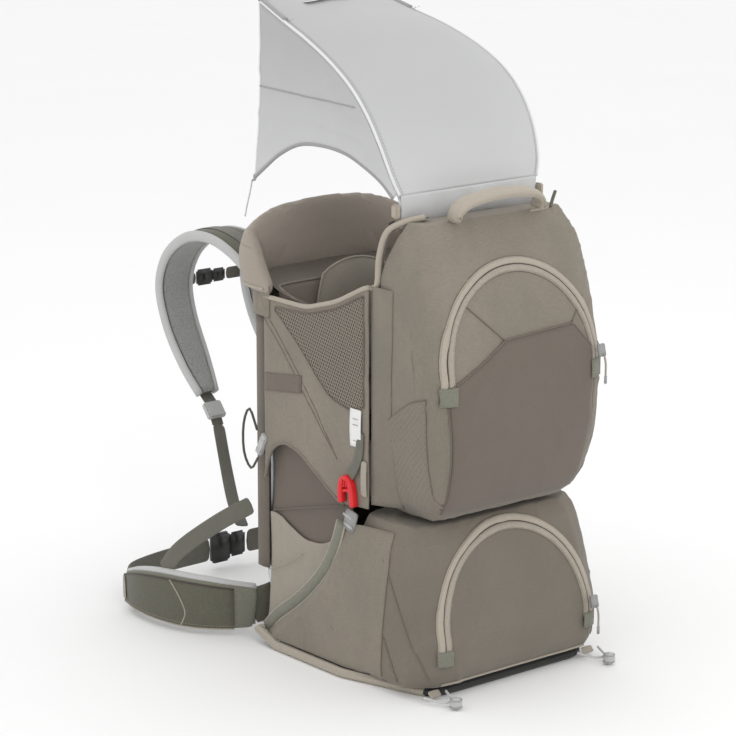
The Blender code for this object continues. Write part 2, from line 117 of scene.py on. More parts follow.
def mirrored(points):
    """Points that end on the middle plane, then their mirror images."""
    return [*points, *(Vector((-p.x, p.y, p.z)) for p in reversed(points[:-1]))]


def oval(centre, across, up, count):
    """Points round an ellipse, from its middle and its two half axes."""
    return [centre + across * cos(a) + up * sin(a) for a in spread(0, 2 * pi, count)[:-1]]


def box_of(node):
    """The middle and the size of a CAD part's box."""
    low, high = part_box(node)
    return Vector([(a + b) / 2 for a, b in zip(low, high)]), [b - a for a, b in zip(low, high)]


def between(table, value):
    """A value read from (position, value) rows by straight lines."""
    if value <= table[0][0]:
        return table[0][1]
    for (a, va), (b, vb) in zip(table, table[1:]):
        if value <= b:
            return va + (vb - va) * (value - a) / (b - a)
    return table[-1][1]


def smooth_path(knots, steps):
    """A Catmull-Rom path through the knots."""
    points = [Vector(k) for k in knots]
    points = [points[0] * 2 - points[1], *points, points[-1] * 2 - points[-2]]
    out = []
    for i in range(1, len(points) - 2):
        a, b, c, d = points[i - 1 : i + 3]
        for j in range(steps):
            t = j / steps
            bend = (a * 2 - b * 5 + c * 4 - d) * t**2 + (b * 3 - a - c * 3 + d) * t**3
            out.append(0.5 * (b * 2 + (c - a) * t + bend))
    out.append(points[-2])
    return out


def tangents(path):
    last = len(path) - 1
    return [(path[min(i + 1, last)] - path[max(i - 1, 0)]).normalized() for i in range(last + 1)]


def path_length(path):
    return sum((b - a).length for a, b in zip(path, path[1:]))


def at_share(path, share):
    """The point at this share of a path's points, between its neighbours."""
    place = share * (len(path) - 1)
    i = min(int(place), len(path) - 2)
    return path[i].lerp(path[i + 1], place - i)


# Shaders
class Shader:
    """A Principled material and the nodes that feed it."""

    def __init__(self, name, roughness=0.8, metallic=0.0, sheen=0.0):
        self.material = bpy.data.materials.new(name)
        self.material.use_nodes = True
        self.tree = self.material.node_tree
        self.main = self.tree.nodes["Principled BSDF"]
        self.main.inputs["Roughness"].default_value = roughness
        self.main.inputs["Metallic"].default_value = metallic
        self.main.inputs["Sheen Weight"].default_value = sheen
        self.main.inputs["Sheen Roughness"].default_value = 0.5
        place = self.tree.nodes.new("ShaderNodeTexCoord")
        self.place = place.outputs["Object"]

    def link(self, source, target):
        self.tree.links.new(source, target)

    def scaled(self, scale, turn=(0.0, 0.0, 0.0)):
        mapping = self.tree.nodes.new("ShaderNodeMapping")
        mapping.inputs["Scale"].default_value = scale
        mapping.inputs["Rotation"].default_value = turn
        self.link(self.place, mapping.inputs["Vector"])
        return mapping.outputs["Vector"]

    def noise(self, scale, detail=3.0):
        made = self.tree.nodes.new("ShaderNodeTexNoise")
        made.inputs["Scale"].default_value = 1.0
        made.inputs["Detail"].default_value = detail
        made.inputs["Roughness"].default_value = 0.6
        self.link(self.scaled(scale), made.inputs["Vector"])
        return made.outputs["Fac"]

    def math(self, kind, a, b=None):
        made = self.tree.nodes.new("ShaderNodeMath")
        made.operation = kind
        for socket, value in zip(made.inputs, (a, b)):
            if isinstance(value, (int, float)):
                socket.default_value = value
            elif value is not None:
                self.link(value, socket)
        return made.outputs[0]

    def times(self, a, b):
        return self.math("MULTIPLY", a, b)

    def plus(self, a, b):
        return self.math("ADD", a, b)

    def ramp(self, source, low, high):
        """Stretches the part of a value from low to high over 0 to 1."""
        made = self.tree.nodes.new("ShaderNodeMapRange")
        made.inputs["From Min"].default_value = low
        made.inputs["From Max"].default_value = high
        self.link(source, made.inputs["Value"])
        return made.outputs["Result"]

    def mix(self, share, first, second):
        made = self.tree.nodes.new("ShaderNodeMix")
        made.data_type = "RGBA"
        self.link(share, made.inputs["Factor"])
        for socket, value in ((made.inputs[6], first), (made.inputs[7], second)):
            if isinstance(value, tuple):
                socket.default_value = (*value, 1.0)
            else:
                self.link(value, socket)
        return made.outputs[2]

    def axis(self, name):
        split = self.tree.nodes.new("ShaderNodeSeparateXYZ")
        self.link(self.place, split.inputs["Vector"])
        return split.outputs[name]

    def colour(self, source):
        self.link(source, self.main.inputs["Base Color"])

    def bump(self, height, strength, distance):
        made = self.tree.nodes.new("ShaderNodeBump")
        made.inputs["Strength"].default_value = strength
        made.inputs["Distance"].default_value = distance
        self.link(height, made.inputs["Height"])
        self.link(made.outputs["Normal"], self.main.inputs["Normal"])


def shade(colour, factor):
    return tuple(min(1.0, part * factor) for part in colour)


def woven(name, colour, melange=0.13, drift=0.12, other=None, thread=1100.0, ripstop=0.0, painted_low_shade=0.0,
          sheen=0.15):
    """A woven cloth: threads both ways, uneven dye and slow drift. If asked, a ripstop grid of that spacing,
    and painted shade that darkens it towards the ground."""
    made = Shader(name, 0.82, sheen=sheen)
    level = made.noise((130.0, 130.0, thread), 2.0)
    upright = made.noise((thread, thread, 130.0), 2.0)
    weave = made.plus(made.times(level, 0.5), made.times(upright, 0.5))
    tone = made.mix(made.ramp(weave, 0.36, 0.64), shade(colour, 1 - melange), shade(colour, 1 + melange))
    slow = made.noise((9.0, 9.0, 7.0), 3.0)
    tone = made.mix(made.times(made.ramp(slow, 0.35, 0.70), drift * 4), tone, other or shade(colour, 0.82))
    # Painted shade: the cloth is darkened towards the floor, where less light reaches it
    if painted_low_shade:
        low = made.math("SUBTRACT", 1.0, made.ramp(made.axis("Z"), 0.16, 0.56))
        tone = made.mix(made.times(low, painted_low_shade), tone, shade(colour, 0.45))
    if ripstop:
        run = made.plus(made.axis("X"), made.axis("Y"))
        lines = []
        for course in (made.plus(run, made.axis("Z")), made.math("SUBTRACT", run, made.axis("Z"))):
            part = made.math("FRACT", made.times(course, 1 / ripstop))
            lines.append(made.math("LESS_THAN", part, 0.16))
        grid = made.math("MAXIMUM", *lines)
        tone = made.mix(made.times(grid, 0.34), tone, shade(colour, 1.35))
        weave = made.plus(weave, made.times(grid, 0.6))
    made.colour(tone)
    made.bump(weave, 0.45, 0.0006)
    return made.material


def netting(name, colour, hole, wide, tall, thread, turn):
    """An open net, its holes painted dark as the shade seen through them: slanted holes in rows that step
    sideways.
    """
    made = Shader(name, 0.85, sheen=0.1)
    split = made.tree.nodes.new("ShaderNodeSeparateXYZ")
    made.link(made.scaled((1.0, 1.0, 1.0), (turn, 0.0, 0.0)), split.inputs["Vector"])
    flat = made.tree.nodes.new("ShaderNodeCombineXYZ")
    made.link(split.outputs["Z"], flat.inputs["X"])
    made.link(split.outputs["Y"], flat.inputs["Y"])
    bricks = made.tree.nodes.new("ShaderNodeTexBrick")
    sizes = {"Scale": 1.0, "Brick Width": wide, "Row Height": tall, "Mortar Size": thread,
             "Mortar Smooth": 0.6}
    # The holes' near-black colour is painted shade, standing in for the dark inside seen through the net
    tones = {"Color1": (*hole, 1.0), "Color2": (*shade(hole, 1.25), 1.0), "Mortar": (*colour, 1.0)}
    for socket, value in {**sizes, **tones}.items():
        bricks.inputs[socket].default_value = value
    made.link(flat.outputs["Vector"], bricks.inputs["Vector"])
    slow = made.ramp(made.noise((25.0, 25.0, 25.0), 2.0), 0.3, 0.8)
    made.colour(made.mix(made.times(slow, 0.25), bricks.outputs["Color"], shade(colour, 0.8)))
    made.bump(bricks.outputs["Fac"], 0.6, 0.0010)
    return made.material


def spacer_mesh(name, colour):
    """Fine spacer mesh: small round cells over foam."""
    made = Shader(name, 0.9, sheen=0.2)
    cells = made.tree.nodes.new("ShaderNodeTexVoronoi")
    cells.inputs["Scale"].default_value = 420.0
    made.link(made.place, cells.inputs["Vector"])
    holes = made.ramp(cells.outputs["Distance"], 0.15, 0.45)
    slow = made.ramp(made.noise((14.0, 14.0, 14.0)), 0.3, 0.7)
    tone = made.mix(holes, shade(colour, 0.62), colour)
    made.colour(made.mix(made.times(slow, 0.3), tone, shade(colour, 0.8)))
    made.bump(holes, 0.5, 0.0006)
    return made.material


def ribbed(name, colour, rib=0.0016, melange=0.18):
    """Woven tape or webbing, with ribs across and a slightly uneven dye."""
    made = Shader(name, 0.7, sheen=0.2)
    run = made.plus(made.plus(made.axis("X"), made.axis("Y")), made.axis("Z"))
    wave = made.math("SINE", made.times(run, 2 * pi / rib))
    grain = made.ramp(made.noise((700.0, 700.0, 700.0), 2.0), 0.3, 0.7)
    tone = made.mix(grain, shade(colour, 1 - melange), shade(colour, 1 + melange))
    worn = made.ramp(made.noise((30.0, 30.0, 30.0), 4.0), 0.55, 0.75)
    made.colour(made.mix(made.times(worn, 0.35), tone, shade(colour, 1.35)))
    made.bump(made.plus(made.times(wave, 0.4), grain), 0.5, 0.0005)
    return made.material


def moulded(name, colour, roughness=0.42, wear=1.25):
    """Moulded plastic: a fine spark-eroded grain, with rubbed patches a little lighter."""
    made = Shader(name, roughness)
    grain = made.noise((1500.0, 1500.0, 1500.0), 2.0)
    worn = made.ramp(made.noise((60.0, 60.0, 60.0), 5.0), 0.52, 0.72)
    made.colour(made.mix(made.times(worn, 0.5), colour, shade(colour, wear)))
    made.link(made.ramp(worn, -1.5, 3.2), made.main.inputs["Roughness"])
    made.bump(grain, 0.25, 0.0003)
    return made.material


def drawn_metal(name, colour):
    """Anodised alloy tube, with faint lines along it and small scuffs."""
    made = Shader(name, 0.36, metallic=1.0)
    lines = made.noise((900.0, 60.0, 60.0), 3.0)
    scuffs = made.ramp(made.noise((70.0, 70.0, 70.0), 5.0), 0.56, 0.72)
    made.colour(made.mix(scuffs, colour, shade(colour, 1.3)))
    made.bump(lines, 0.2, 0.0002)
    return made.material


def shade_cloth():
    """The sunshade's coated cloth: thin, smooth, and paler towards its lower edge, its darker top being
    painted shade.
    """
    made = Shader("shade_cloth", 0.6, sheen=0.2)
    weave = made.ramp(made.noise((1500.0, 1500.0, 1500.0), 2.0), 0.3, 0.7)
    # Painted shade: the cloth darkens with height, so the crown's top reads as shaded
    height = made.ramp(made.axis("Z"), 0.66, 0.85)
    slow = made.ramp(made.noise((6.0, 9.0, 6.0), 3.0), 0.3, 0.7)
    tone = made.mix(height, (0.600, 0.602, 0.606), (0.430, 0.430, 0.434))
    tone = made.mix(made.times(slow, 0.16), tone, (0.380, 0.380, 0.386))
    made.colour(made.mix(made.times(weave, 0.10), tone, (0.30, 0.30, 0.30)))
    made.bump(weave, 0.25, 0.0003)
    return made.material


def sleeved_hoop():
    """The base hoop: a pale fabric sleeve on the sides, and the bare black rod along the rear."""
    made = Shader("hoop_sleeve", 0.7, sheen=0.1)
    weave = made.ramp(made.noise((600.0, 600.0, 600.0), 2.0), 0.3, 0.7)
    cloth = made.mix(weave, shade(TRIM, 0.80), shade(TRIM, 1.08))
    bare = made.math("LESS_THAN", made.axis("Y"), -0.140)
    made.colour(made.mix(bare, cloth, BLACK))
    made.bump(weave, 0.4, 0.0005)
    return made.material


def make_materials():
    return {
        # The body, flank and ripstop cloths carry painted shade that darkens them towards the floor
        "body": woven("body_cloth", shade(TAUPE, 1.10), other=TAUPE_GREEN, painted_low_shade=0.52),
        "flank": woven("flank_cloth", shade(TAUPE, 1.10), other=TAUPE_GREEN, painted_low_shade=0.12),
        "ripstop": woven("ripstop_cloth", shade(TAUPE, 0.94), melange=0.15, other=TAUPE_GREEN,
                         ripstop=0.0085, painted_low_shade=0.30),
        "stretch": woven("stretch_cloth", TAUPE_DARK, melange=0.07, drift=0.08, thread=1800.0),
        "dark": woven("dark_cloth", TAUPE_DARK, other=TAUPE_GREEN),
        "trim": woven("trim_cloth", TRIM, melange=0.08, drift=0.05),
        "seat": woven("seat_cloth", SEAT, melange=0.08, drift=0.08),
        # Collar and lining cloths are lightened as painted light against the cockpit's shade
        "collar": woven("collar_cloth", COLLAR, melange=0.05, drift=0.05, thread=1800.0),
        "lining": woven("lining_cloth", LINING, melange=0.06, drift=0.10, thread=1800.0),
        "olive": woven("olive_cloth", OLIVE, melange=0.18, drift=0.08),
        "olive_grey": woven("olive_grey_cloth", OLIVE_GREY, melange=0.16, drift=0.10),
        "hood": shade_cloth(),
        "hood_edge": woven("hood_edge_cloth", HOOD_EDGE, melange=0.03, drift=0.05, sheen=0.2),
        "hood_bind": woven("hood_binding_cloth", MID_GREY, melange=0.05, drift=0.05),
        "net": netting("window_net", shade(TAUPE, 1.10), NET_HOLE_SHADE, wide=0.0060, tall=0.0040, thread=0.0012,
                       turn=0.5),
        "spacer": spacer_mesh("spacer_mesh", MID_GREY),
        "pad_edge": woven("pale_pad_cloth", PALE_GREY, melange=0.06, drift=0.06),
        "tape": ribbed("olive_tape", WEB),
        "pale_tape": ribbed("pale_tape", shade(TRIM, 0.90)),
        "cord": ribbed("cord_braid", CORD_GREY, rib=0.0022, melange=0.15),
        "dark_cord": ribbed("dark_cord_braid", shade(WEB, 0.55), rib=0.0022),
        "grey": moulded("grey_moulding", (0.31, 0.31, 0.305)),
        "pale_grey": moulded("pale_grey_moulding", (0.46, 0.46, 0.455)),
        "black": moulded("black_moulding", BLACK, 0.4, 2.0),
        "red": moulded("red_moulding", RED, 0.38, 1.1),
        "board": moulded("board_sheet", BOARD, 0.6, 1.5),
        "alloy": drawn_metal("alloy_tube", ALLOY),
        "label": woven("label_cloth", LABEL_WHITE, melange=0.03, drift=0.02),
        "thread": woven("sewing_thread", shade(TAUPE, 1.45), melange=0.1, drift=0.0),
        # A very dark zip coil, darkened further as painted shadow in the zip's groove
        "shadow": woven("zip_tape", shade(TAUPE_DARK, 0.40), melange=0.2, drift=0.0),
        "hoop": sleeved_hoop(),
    }


M = make_materials()


MADE = []


# Pieces: each takes a look by name and rides on a body
def place(obj, look, body, replaces=()):
    MADE.append(obj)
    if not obj.data.materials:
        obj.data.materials.append(M[look])
    if body:
        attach(obj, body)
    if replaces:
        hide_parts(*replaces)
    return obj


def linked(name, data):
    """A new object in the scene, with this data."""
    made = bpy.data.objects.new(name, data)
    bpy.context.scene.collection.objects.link(made)
    return made


def even(mesh):
    """Shades every face of a mesh smooth."""
    for face in mesh.polygons:
        face.use_smooth = True


def mesh_piece(name, points, faces, look, body, replaces=()):
    mesh = bpy.data.meshes.new(name)
    mesh.from_pydata([tuple(p) for p in points], [], faces)
    shape = bmesh.new()
    shape.from_mesh(mesh)
    bmesh.ops.recalc_face_normals(shape, faces=shape.faces)
    shape.to_mesh(mesh)
    shape.free()
    even(mesh)
    return place(linked(name, mesh), look, body, replaces)


def strip_faces(rows, around):
    """The faces between rows of points; around joins the last column to the first."""
    count = len(rows[0])
    faces = []
    for i in range(len(rows) - 1):
        for j in range(count if around else count - 1):
            k = (j + 1) % count
            faces.append((i * count + j, i * count + k, (i + 1) * count + k, (i + 1) * count + j))
    return faces


def grid_piece(name, rows, look, body, replaces=(), thick=0.0, levels=0, offset=0.0, around=False):
    """A sheet through rows of points; around joins the last column to the first."""
    points = [p for row in rows for p in row]
    made = mesh_piece(name, points, strip_faces(rows, around), look, body, replaces)
    if thick:
        shell = made.modifiers.new("Solidify", "SOLIDIFY")
        shell.thickness = thick
        shell.offset = offset
    if levels:
        soften(made, levels)
    return made


def soften(obj, levels):
    fine = obj.modifiers.new("Subdivision", "SUBSURF")
    fine.levels = levels
    fine.render_levels = levels


def loft_piece(name, rings, look, body, replaces=(), levels=0):
    """A closed form through rings of points, capped at both ends."""
    count = len(rings[0])
    points = [p for ring in rings for p in ring]
    caps = [tuple(range(count)), tuple(range(len(points) - count, len(points)))]
    faces = strip_faces(rings, True) + caps
    made = mesh_piece(name, points, faces, look, body, replaces)
    if levels:
        soften(made, levels)
    return made


def rod_piece(name, path, radius, look, body, closed=False):
    """A round bar or piping as a mesh, its rings turned along the path without twist."""
    path = [Vector(p) for p in path]
    ways = tangents(path)
    side = ways[0].orthogonal().normalized()
    rows = []
    for point, way in zip(path, ways):
        side = (side - way * side.dot(way)).normalized()
        rows.append(oval(point, side * radius, way.cross(side) * radius, 8))
    if closed:
        return grid_piece(name, rows + [rows[0]], look, body, around=True)
    return loft_piece(name, rows, look, body)


def fold_along(first, leave=()):
    """Gives every mesh piece made since this count its own copy of its mesh, except those whose names hold a
    word in leave.
    """
    for obj in MADE[first:]:
        if obj.type == "MESH" and not any(word in obj.name for word in leave):
            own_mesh(obj)


def cord_piece(name, path, radius, look, body, replaces):
    """A free cord as a curve."""
    curve = bpy.data.curves.new(name, "CURVE")
    curve.dimensions = "3D"
    curve.bevel_depth = radius
    curve.bevel_resolution = 3
    curve.use_fill_caps = True
    line = curve.splines.new("POLY")
    line.points.add(len(path) - 1)
    for knot, point in zip(line.points, path):
        knot.co = (*point, 1.0)
    line.use_smooth = True
    return place(linked(name, curve), look, body, replaces)


def band_piece(name, path, across, width, thick, look, body, replaces=(), crown=0.0, columns=6):
    """A strap along a path, with rounded edges. crown raises the middle of its outer side. The width and the
    thickness are numbers, or functions of the share of the path."""
    path = [Vector(p) for p in path]
    rings = []
    for i, (point, along) in enumerate(zip(path, tangents(path))):
        share = i / (len(path) - 1)
        side = Vector(across)
        side = (side - along * side.dot(along)).normalized()
        normal = along.cross(side).normalized()
        w = (width(share) if callable(width) else width) / 2
        t = (thick(share) if callable(thick) else thick) / 2
        top = []
        low = []
        for s in spread(-1, 1, columns):
            edge = 1.0 - 0.45 * abs(s) ** 6
            top.append(point + side * w * s + normal * (t * edge + crown * (1 - s * s)))
            low.append(point + side * w * s - normal * t * edge)
        rings.append(top + low[::-1])
    return loft_piece(name, rings, look, body, replaces, levels=1)


def box_piece(name, centre, size, look, body, replaces=(), bevel=0.001, turn=(0.0, 0.0, 0.0)):
    """A moulded block with rounded edges."""
    shape = bmesh.new()
    bmesh.ops.create_cube(shape, size=1.0)
    bmesh.ops.scale(shape, vec=Vector(size), verts=shape.verts)
    bmesh.ops.bevel(shape, geom=shape.edges[:], offset=bevel, segments=3, affect="EDGES")
    move = Matrix.Translation(centre) @ Euler(turn).to_matrix().to_4x4()
    bmesh.ops.transform(shape, matrix=move, verts=shape.verts)
    mesh = bpy.data.meshes.new(name)
    shape.to_mesh(mesh)
    shape.free()
    even(mesh)
    return place(linked(name, mesh), look, body, replaces)


def stitch_piece(name, paths, look, body, stitch=0.0030, gap=0.0016, radius=0.00035):
    """Rows of stitches: short thread dashes along each path."""
    points = []
    faces = []
    for path in paths:
        total = path_length(path)
        count = max(1, int(total / (stitch + gap)))
        marks = [0.0]
        for a, b in zip(path, path[1:]):
            marks.append(marks[-1] + (b - a).length)
        for i in range(count):
            ends = []
            for reach in (i * (stitch + gap), i * (stitch + gap) + stitch):
                k = max(1, next((k for k, mark in enumerate(marks) if mark >= reach), len(path) - 1))
                span = max(1e-9, marks[k] - marks[k - 1])
                ends.append(path[k - 1].lerp(path[k], min(1.0, (reach - marks[k - 1]) / span)))
            along = (ends[1] - ends[0]).normalized()
            side = along.orthogonal().normalized() * radius
            first = len(points)
            for end in ends:
                points += oval(end, side, along.cross(side), 4)
            faces += [(first + j, first + (j + 1) % 4, first + 4 + (j + 1) % 4, first + 4 + j)
                      for j in range(4)]
            faces += [(first, first + 1, first + 2, first + 3), (first + 4, first + 5, first + 6, first + 7)]
    return mesh_piece(name, points, faces, look, body)


def dress(node, look):
    """Gives a CAD part that stays as it is a better finish."""
    obj = NODES[node]
    if obj.material_slots:
        for slot in obj.material_slots:
            slot.material = M[look]
    else:
        obj.data.materials.append(M[look])


# Soft forms
def baked(obj):
    """Applies an object's modifiers to its own mesh."""
    graph = bpy.context.evaluated_depsgraph_get()
    mesh = bpy.data.meshes.new_from_object(obj.evaluated_get(graph))
    obj.modifiers.clear()
    obj.data = mesh
    even(mesh)
    return obj


def node_copy(name, node):
    """A welded copy of a CAD solid's mesh, as a new object."""
    mesh = NODES[node].data.copy()
    mesh.name = name
    mesh.materials.clear()
    shape = bmesh.new()
    shape.from_mesh(mesh)
    bmesh.ops.remove_doubles(shape, verts=shape.verts, dist=0.00005)
    bmesh.ops.recalc_face_normals(shape, faces=shape.faces)
    shape.to_mesh(mesh)
    shape.free()
    return linked(name, mesh)


def eased_edges(obj, rounds):
    ease = obj.modifiers.new("Smooth", "SMOOTH")
    ease.factor = 0.5
    ease.iterations = rounds


def remeshed(name, node, voxel, rounds):
    """A CAD form rebuilt from even faces, its edges eased."""
    obj = node_copy(name, node)
    grid = obj.modifiers.new("Remesh", "REMESH")
    grid.mode = "VOXEL"
    grid.voxel_size = voxel
    eased_edges(obj, rounds)
    soften(obj, 1)
    return baked(obj)


def fine_skin(name, node, levels, rounds):
    """A CAD form cut into small faces, its edges eased."""
    obj = node_copy(name, node)
    split = obj.modifiers.new("Split", "SUBSURF")
    split.subdivision_type = "SIMPLE"
    split.levels = levels
    split.render_levels = levels
    eased_edges(obj, rounds)
    return baked(obj)


def plump(obj, cap):
    """Fills a closed cloth form by pressure, with no point moving further than cap."""
    start = [v.co.copy() for v in obj.data.vertices]
    cloth = obj.modifiers.new("Cloth", "CLOTH")
    cloth.settings.quality = 4
    cloth.settings.use_pressure = True
    cloth.settings.uniform_pressure_force = 4.0
    cloth.settings.effector_weights.gravity = 0.0
    scene = bpy.context.scene
    for step in range(1, 21):
        scene.frame_set(step)
    baked(obj)
    scene.frame_set(1)
    for vertex, before in zip(obj.data.vertices, start):
        move = vertex.co - before
        if move.length > cap:
            vertex.co = before + move.normalized() * cap


def folds(p, scale, stretch=(1.0, 1.0, 1.0), seed=0.0):
    """Soft creases: narrow ridges of a noise field, from 0 to 1."""
    spot = Vector((p.x * stretch[0], p.y * stretch[1], p.z * stretch[2])) * scale
    value = noise.noise(spot + Vector((seed, seed * 1.7, -seed)))
    return max(0.0, 1.0 - abs(value) * 5.0) ** 2


def crumple(obj, depth, scale, stretch, seed, swell=0.0, limit=None):
    """Moves a skin along its normals: creases outward, a slow swell, and a mask given by limit(point)."""
    mesh = obj.data
    normals = [v.normal.copy() for v in mesh.vertices]
    for vertex, normal in zip(mesh.vertices, normals):
        p = vertex.co
        slow = noise.noise(p * scale * 0.35 + Vector((seed + 9, 0, 0)))
        move = depth * folds(p, scale, stretch, seed) * (0.5 + slow) + swell * slow
        if limit:
            move *= limit(p)
        vertex.co = p + normal * move


class Skin:
    """A finished soft surface that seams, zips and patches are laid on."""

    def __init__(self, obj):
        mesh = obj.data
        self.tree = BVHTree.FromPolygons([v.co for v in mesh.vertices],
                                         [tuple(f.vertices) for f in mesh.polygons])

    def rear(self, x, z, lift=0.0):
        """The point on the rear of the surface at (x, z), lifted off it."""
        spot, normal, _, _ = self.tree.ray_cast(Vector((x, -0.5, z)), Vector((0, 1, 0)))
        return self.lifted(spot, normal, lift, Vector((x, -0.1, z)))

    def flank(self, side, y, z, lift=0.0):
        spot, normal, _, _ = self.tree.ray_cast(Vector((side * 0.5, y, z)), Vector((-side, 0, 0)))
        return self.lifted(spot, normal, lift, Vector((side * 0.14, y, z)))

    def near(self, point, lift=0.0):
        spot, normal, _, _ = self.tree.find_nearest(Vector(point))
        return self.lifted(spot, normal, lift, Vector(point))

    def lifted(self, spot, normal, lift, otherwise):
        if spot is None:
            spot, normal, _, _ = self.tree.find_nearest(otherwise)
        return spot + normal * lift


def welt(name, skin, line, half, height, look, body, shift=0.0, replaces=(), keep_down=0.0012):
    """A raised strip on the rear of a skin, along a flat (x, z) line, shifted to one side of it."""
    flat = [Vector((x, 0.0, z)) for x, z in line]
    rings = []
    profile = [(-1.0, -0.3), (-0.92, 0.55), (-0.5, 0.95), (0.0, 1.0), (0.5, 0.95), (0.92, 0.55), (1.0, -0.3)]
    for point, along in zip(flat, tangents(flat)):
        out = Vector((along.z, 0.0, -along.x))
        ring = []
        for s, h in profile:
            spot = point + out * (shift + half * s)
            ring.append(skin.rear(spot.x, spot.z, height * h - keep_down * (h < 0)))
        rings.append(ring)
    return loft_piece(name, rings, look, body, replaces)


def patch(name, skin, left, right, columns, lift, look, body, thick=0.0010):
    """A panel laid on the rear of a skin between two (x, z) edges of equal point count."""
    rows = []
    for (xa, za), (xb, zb) in zip(left, right):
        row = []
        for s in spread(0, 1, columns):
            row.append(skin.rear(xa + (xb - xa) * s, za + (zb - za) * s, lift))
        rows.append(row)
    return grid_piece(name, rows, look, body, thick=thick, offset=1.0)


def seam_on(name, skin, points, radius, look, body, flank=0.0):
    """Thin piping along a line on a skin: (x, z) on the rear, or (y, z) on a flank."""
    path = [skin.flank(flank, a, z, radius * 0.3) if flank else skin.rear(a, z, radius * 0.3) for a,
            z in points]
    return rod_piece(name, path, radius, look, body)


def flat_path(knots, steps=6):
    return [(p.x, p.z) for p in smooth_path([(a, 0.0, b) for a, b in knots], steps)]


# Camera, light and floor
def camera():
    data = bpy.data.cameras.new("camera")
    data.sensor_width = 36.0
    data.lens = 143.6
    made = linked("camera", data)
    made.location = (-2.554, -2.943, 1.365)
    made.rotation_euler = (radians(90 - 13.87), 0.0, radians(-39.56))
    bpy.context.scene.camera = made


def area_light(name, place_at, aim, power, size):
    data = bpy.data.lights.new(name, "AREA")
    data.energy = power
    data.size = size
    made = linked(name, data)
    made.location = place_at
    direction = Vector(aim) - Vector(place_at)
    made.rotation_euler = direction.to_track_quat("-Z", "Y").to_euler()


def studio():
    scene = bpy.context.scene
    scene.view_settings.view_transform = "Standard"
    scene.view_settings.look = "None"
    world = bpy.data.worlds.new("studio")
    world.use_nodes = True
    world.node_tree.nodes["Background"].inputs["Color"].default_value = (1.0, 1.0, 1.0, 1.0)
    world.node_tree.nodes["Background"].inputs["Strength"].default_value = 1.0
    scene.world = world
    area_light("key", (-1.2, -2.6, 2.2), (0, 0, 0.4), 12.0, 1.2)
    area_light("top", (0.4, 0.3, 3.0), (0, 0, 0.3), 10.0, 2.0)
    mesh = bpy.data.meshes.new("floor")
    corners = ((-9, -9), (9, -9), (9, 9), (-9, 9))
    mesh.from_pydata([(x, y, -0.0004) for x, y in corners], [], [(0, 1, 2, 3)])
    floor = linked("floor", mesh)
    paint = Shader("floor_paint", 0.9)
    mottle = paint.ramp(paint.noise((2.0, 2.0, 2.0)), 0.0, 1.0)
    paint.colour(paint.mix(mottle, (0.92, 0.92, 0.92), (0.94, 0.94, 0.94)))
    mesh.materials.append(paint.material)


# Cords
def cords():
    for tag, side in SIDES:
        x = side * 0.140
        knots = [(x - 0.022, -0.163, 0.010), (x - 0.010, -0.182, 0.006), (x, -0.190, 0.007)]
        knots += [(x + 0.010, -0.184, 0.006), (x + 0.018, -0.162, 0.010)]
        path = smooth_path(knots, 5)
        loop = cord_piece(f"gear_loop_{tag}", path, 0.0018, "cord", "base", [f"gear_cord_{tag}"])
        dress(f"cord_ball_{tag}", "pale_grey")

        x = side * 0.1240
        knots = [(x, 0.2500, 0.6440), (x * 1.03, 0.2505, 0.6270), (x * 1.08, 0.2495, 0.6090),
                 (x * 1.12, 0.2480, 0.5940)]
        path = smooth_path(knots, 3)
        guy = cord_piece(f"hood_guy_{tag}", path, 0.0010, "cord", "sunshade", [f"hood_guy_cord_{tag}"])

        x = side * 0.160
        knots = [(x * 1.005, 0.196, 0.302), (x * 1.01, 0.212, 0.330), (x * 1.01, 0.226, 0.306)]
        knots += [(x * 1.01, 0.226, 0.266), (x, 0.212, 0.244), (x, 0.196, 0.262)]
        path = smooth_path(knots, 3)
        node = [f"cinch_loop_{tag}"]
        elastic = cord_piece(f"cinch_elastic_{tag}", path, 0.0018, "dark_cord", "carrier_frame", node)


camera()
cords()
studio()


# Each arched zip: the height of its arch's centre, its radius and the height of its legs' ends
UPPER_ZIP = (0.440, 0.130, 0.424)
LOWER_ZIP = (0.084, 0.130, 0.064)


def arch_line(zip_shape, count=36):
    """The (x, z) line of an arched zip with straight legs, from the left end to the right one."""
    centre_z, radius, low = zip_shape
    legs = spread(low, centre_z, 3)[:-1]
    line = [(-radius, z) for z in legs]
    line += [(-radius * cos(a), centre_z + radius * sin(a)) for a in spread(0, pi, count)]
    return line + [(radius, z) for z in reversed(legs)]


def zip_on(prefix, skin, zip_shape, body, track):
    line = arch_line(zip_shape)
    welt(f"{prefix}_zip_welt_out", skin, line, 0.0046, 0.0030, "trim", body, shift=-0.0054, replaces=[track])
    welt(f"{prefix}_zip_welt_in", skin, line, 0.0046, 0.0026, "pale_tape", body, shift=0.0046)
    # The strip between the welts is the zip's coil and also painted shadow in the groove
    welt(f"{prefix}_zip_coil", skin, line, 0.0011, 0.0012, "shadow", body, shift=-0.0004)
    welt(f"{prefix}_zip_shade", skin, line, 0.0112, 0.0006, "dark", body, shift=-0.0004, keep_down=0.0004)
    flat = [Vector((x, 0.0, z)) for x, z in line]
    edges = []
    for shift in (-0.0086, 0.0082):
        spots = [p + Vector((t.z, 0.0, -t.x)) * shift for p, t in zip(flat, tangents(flat))]
        edges.append([skin.rear(p.x, p.z, 0.0026) for p in spots])
    stitch_piece(f"{prefix}_zip_stitches", edges, "thread", body)


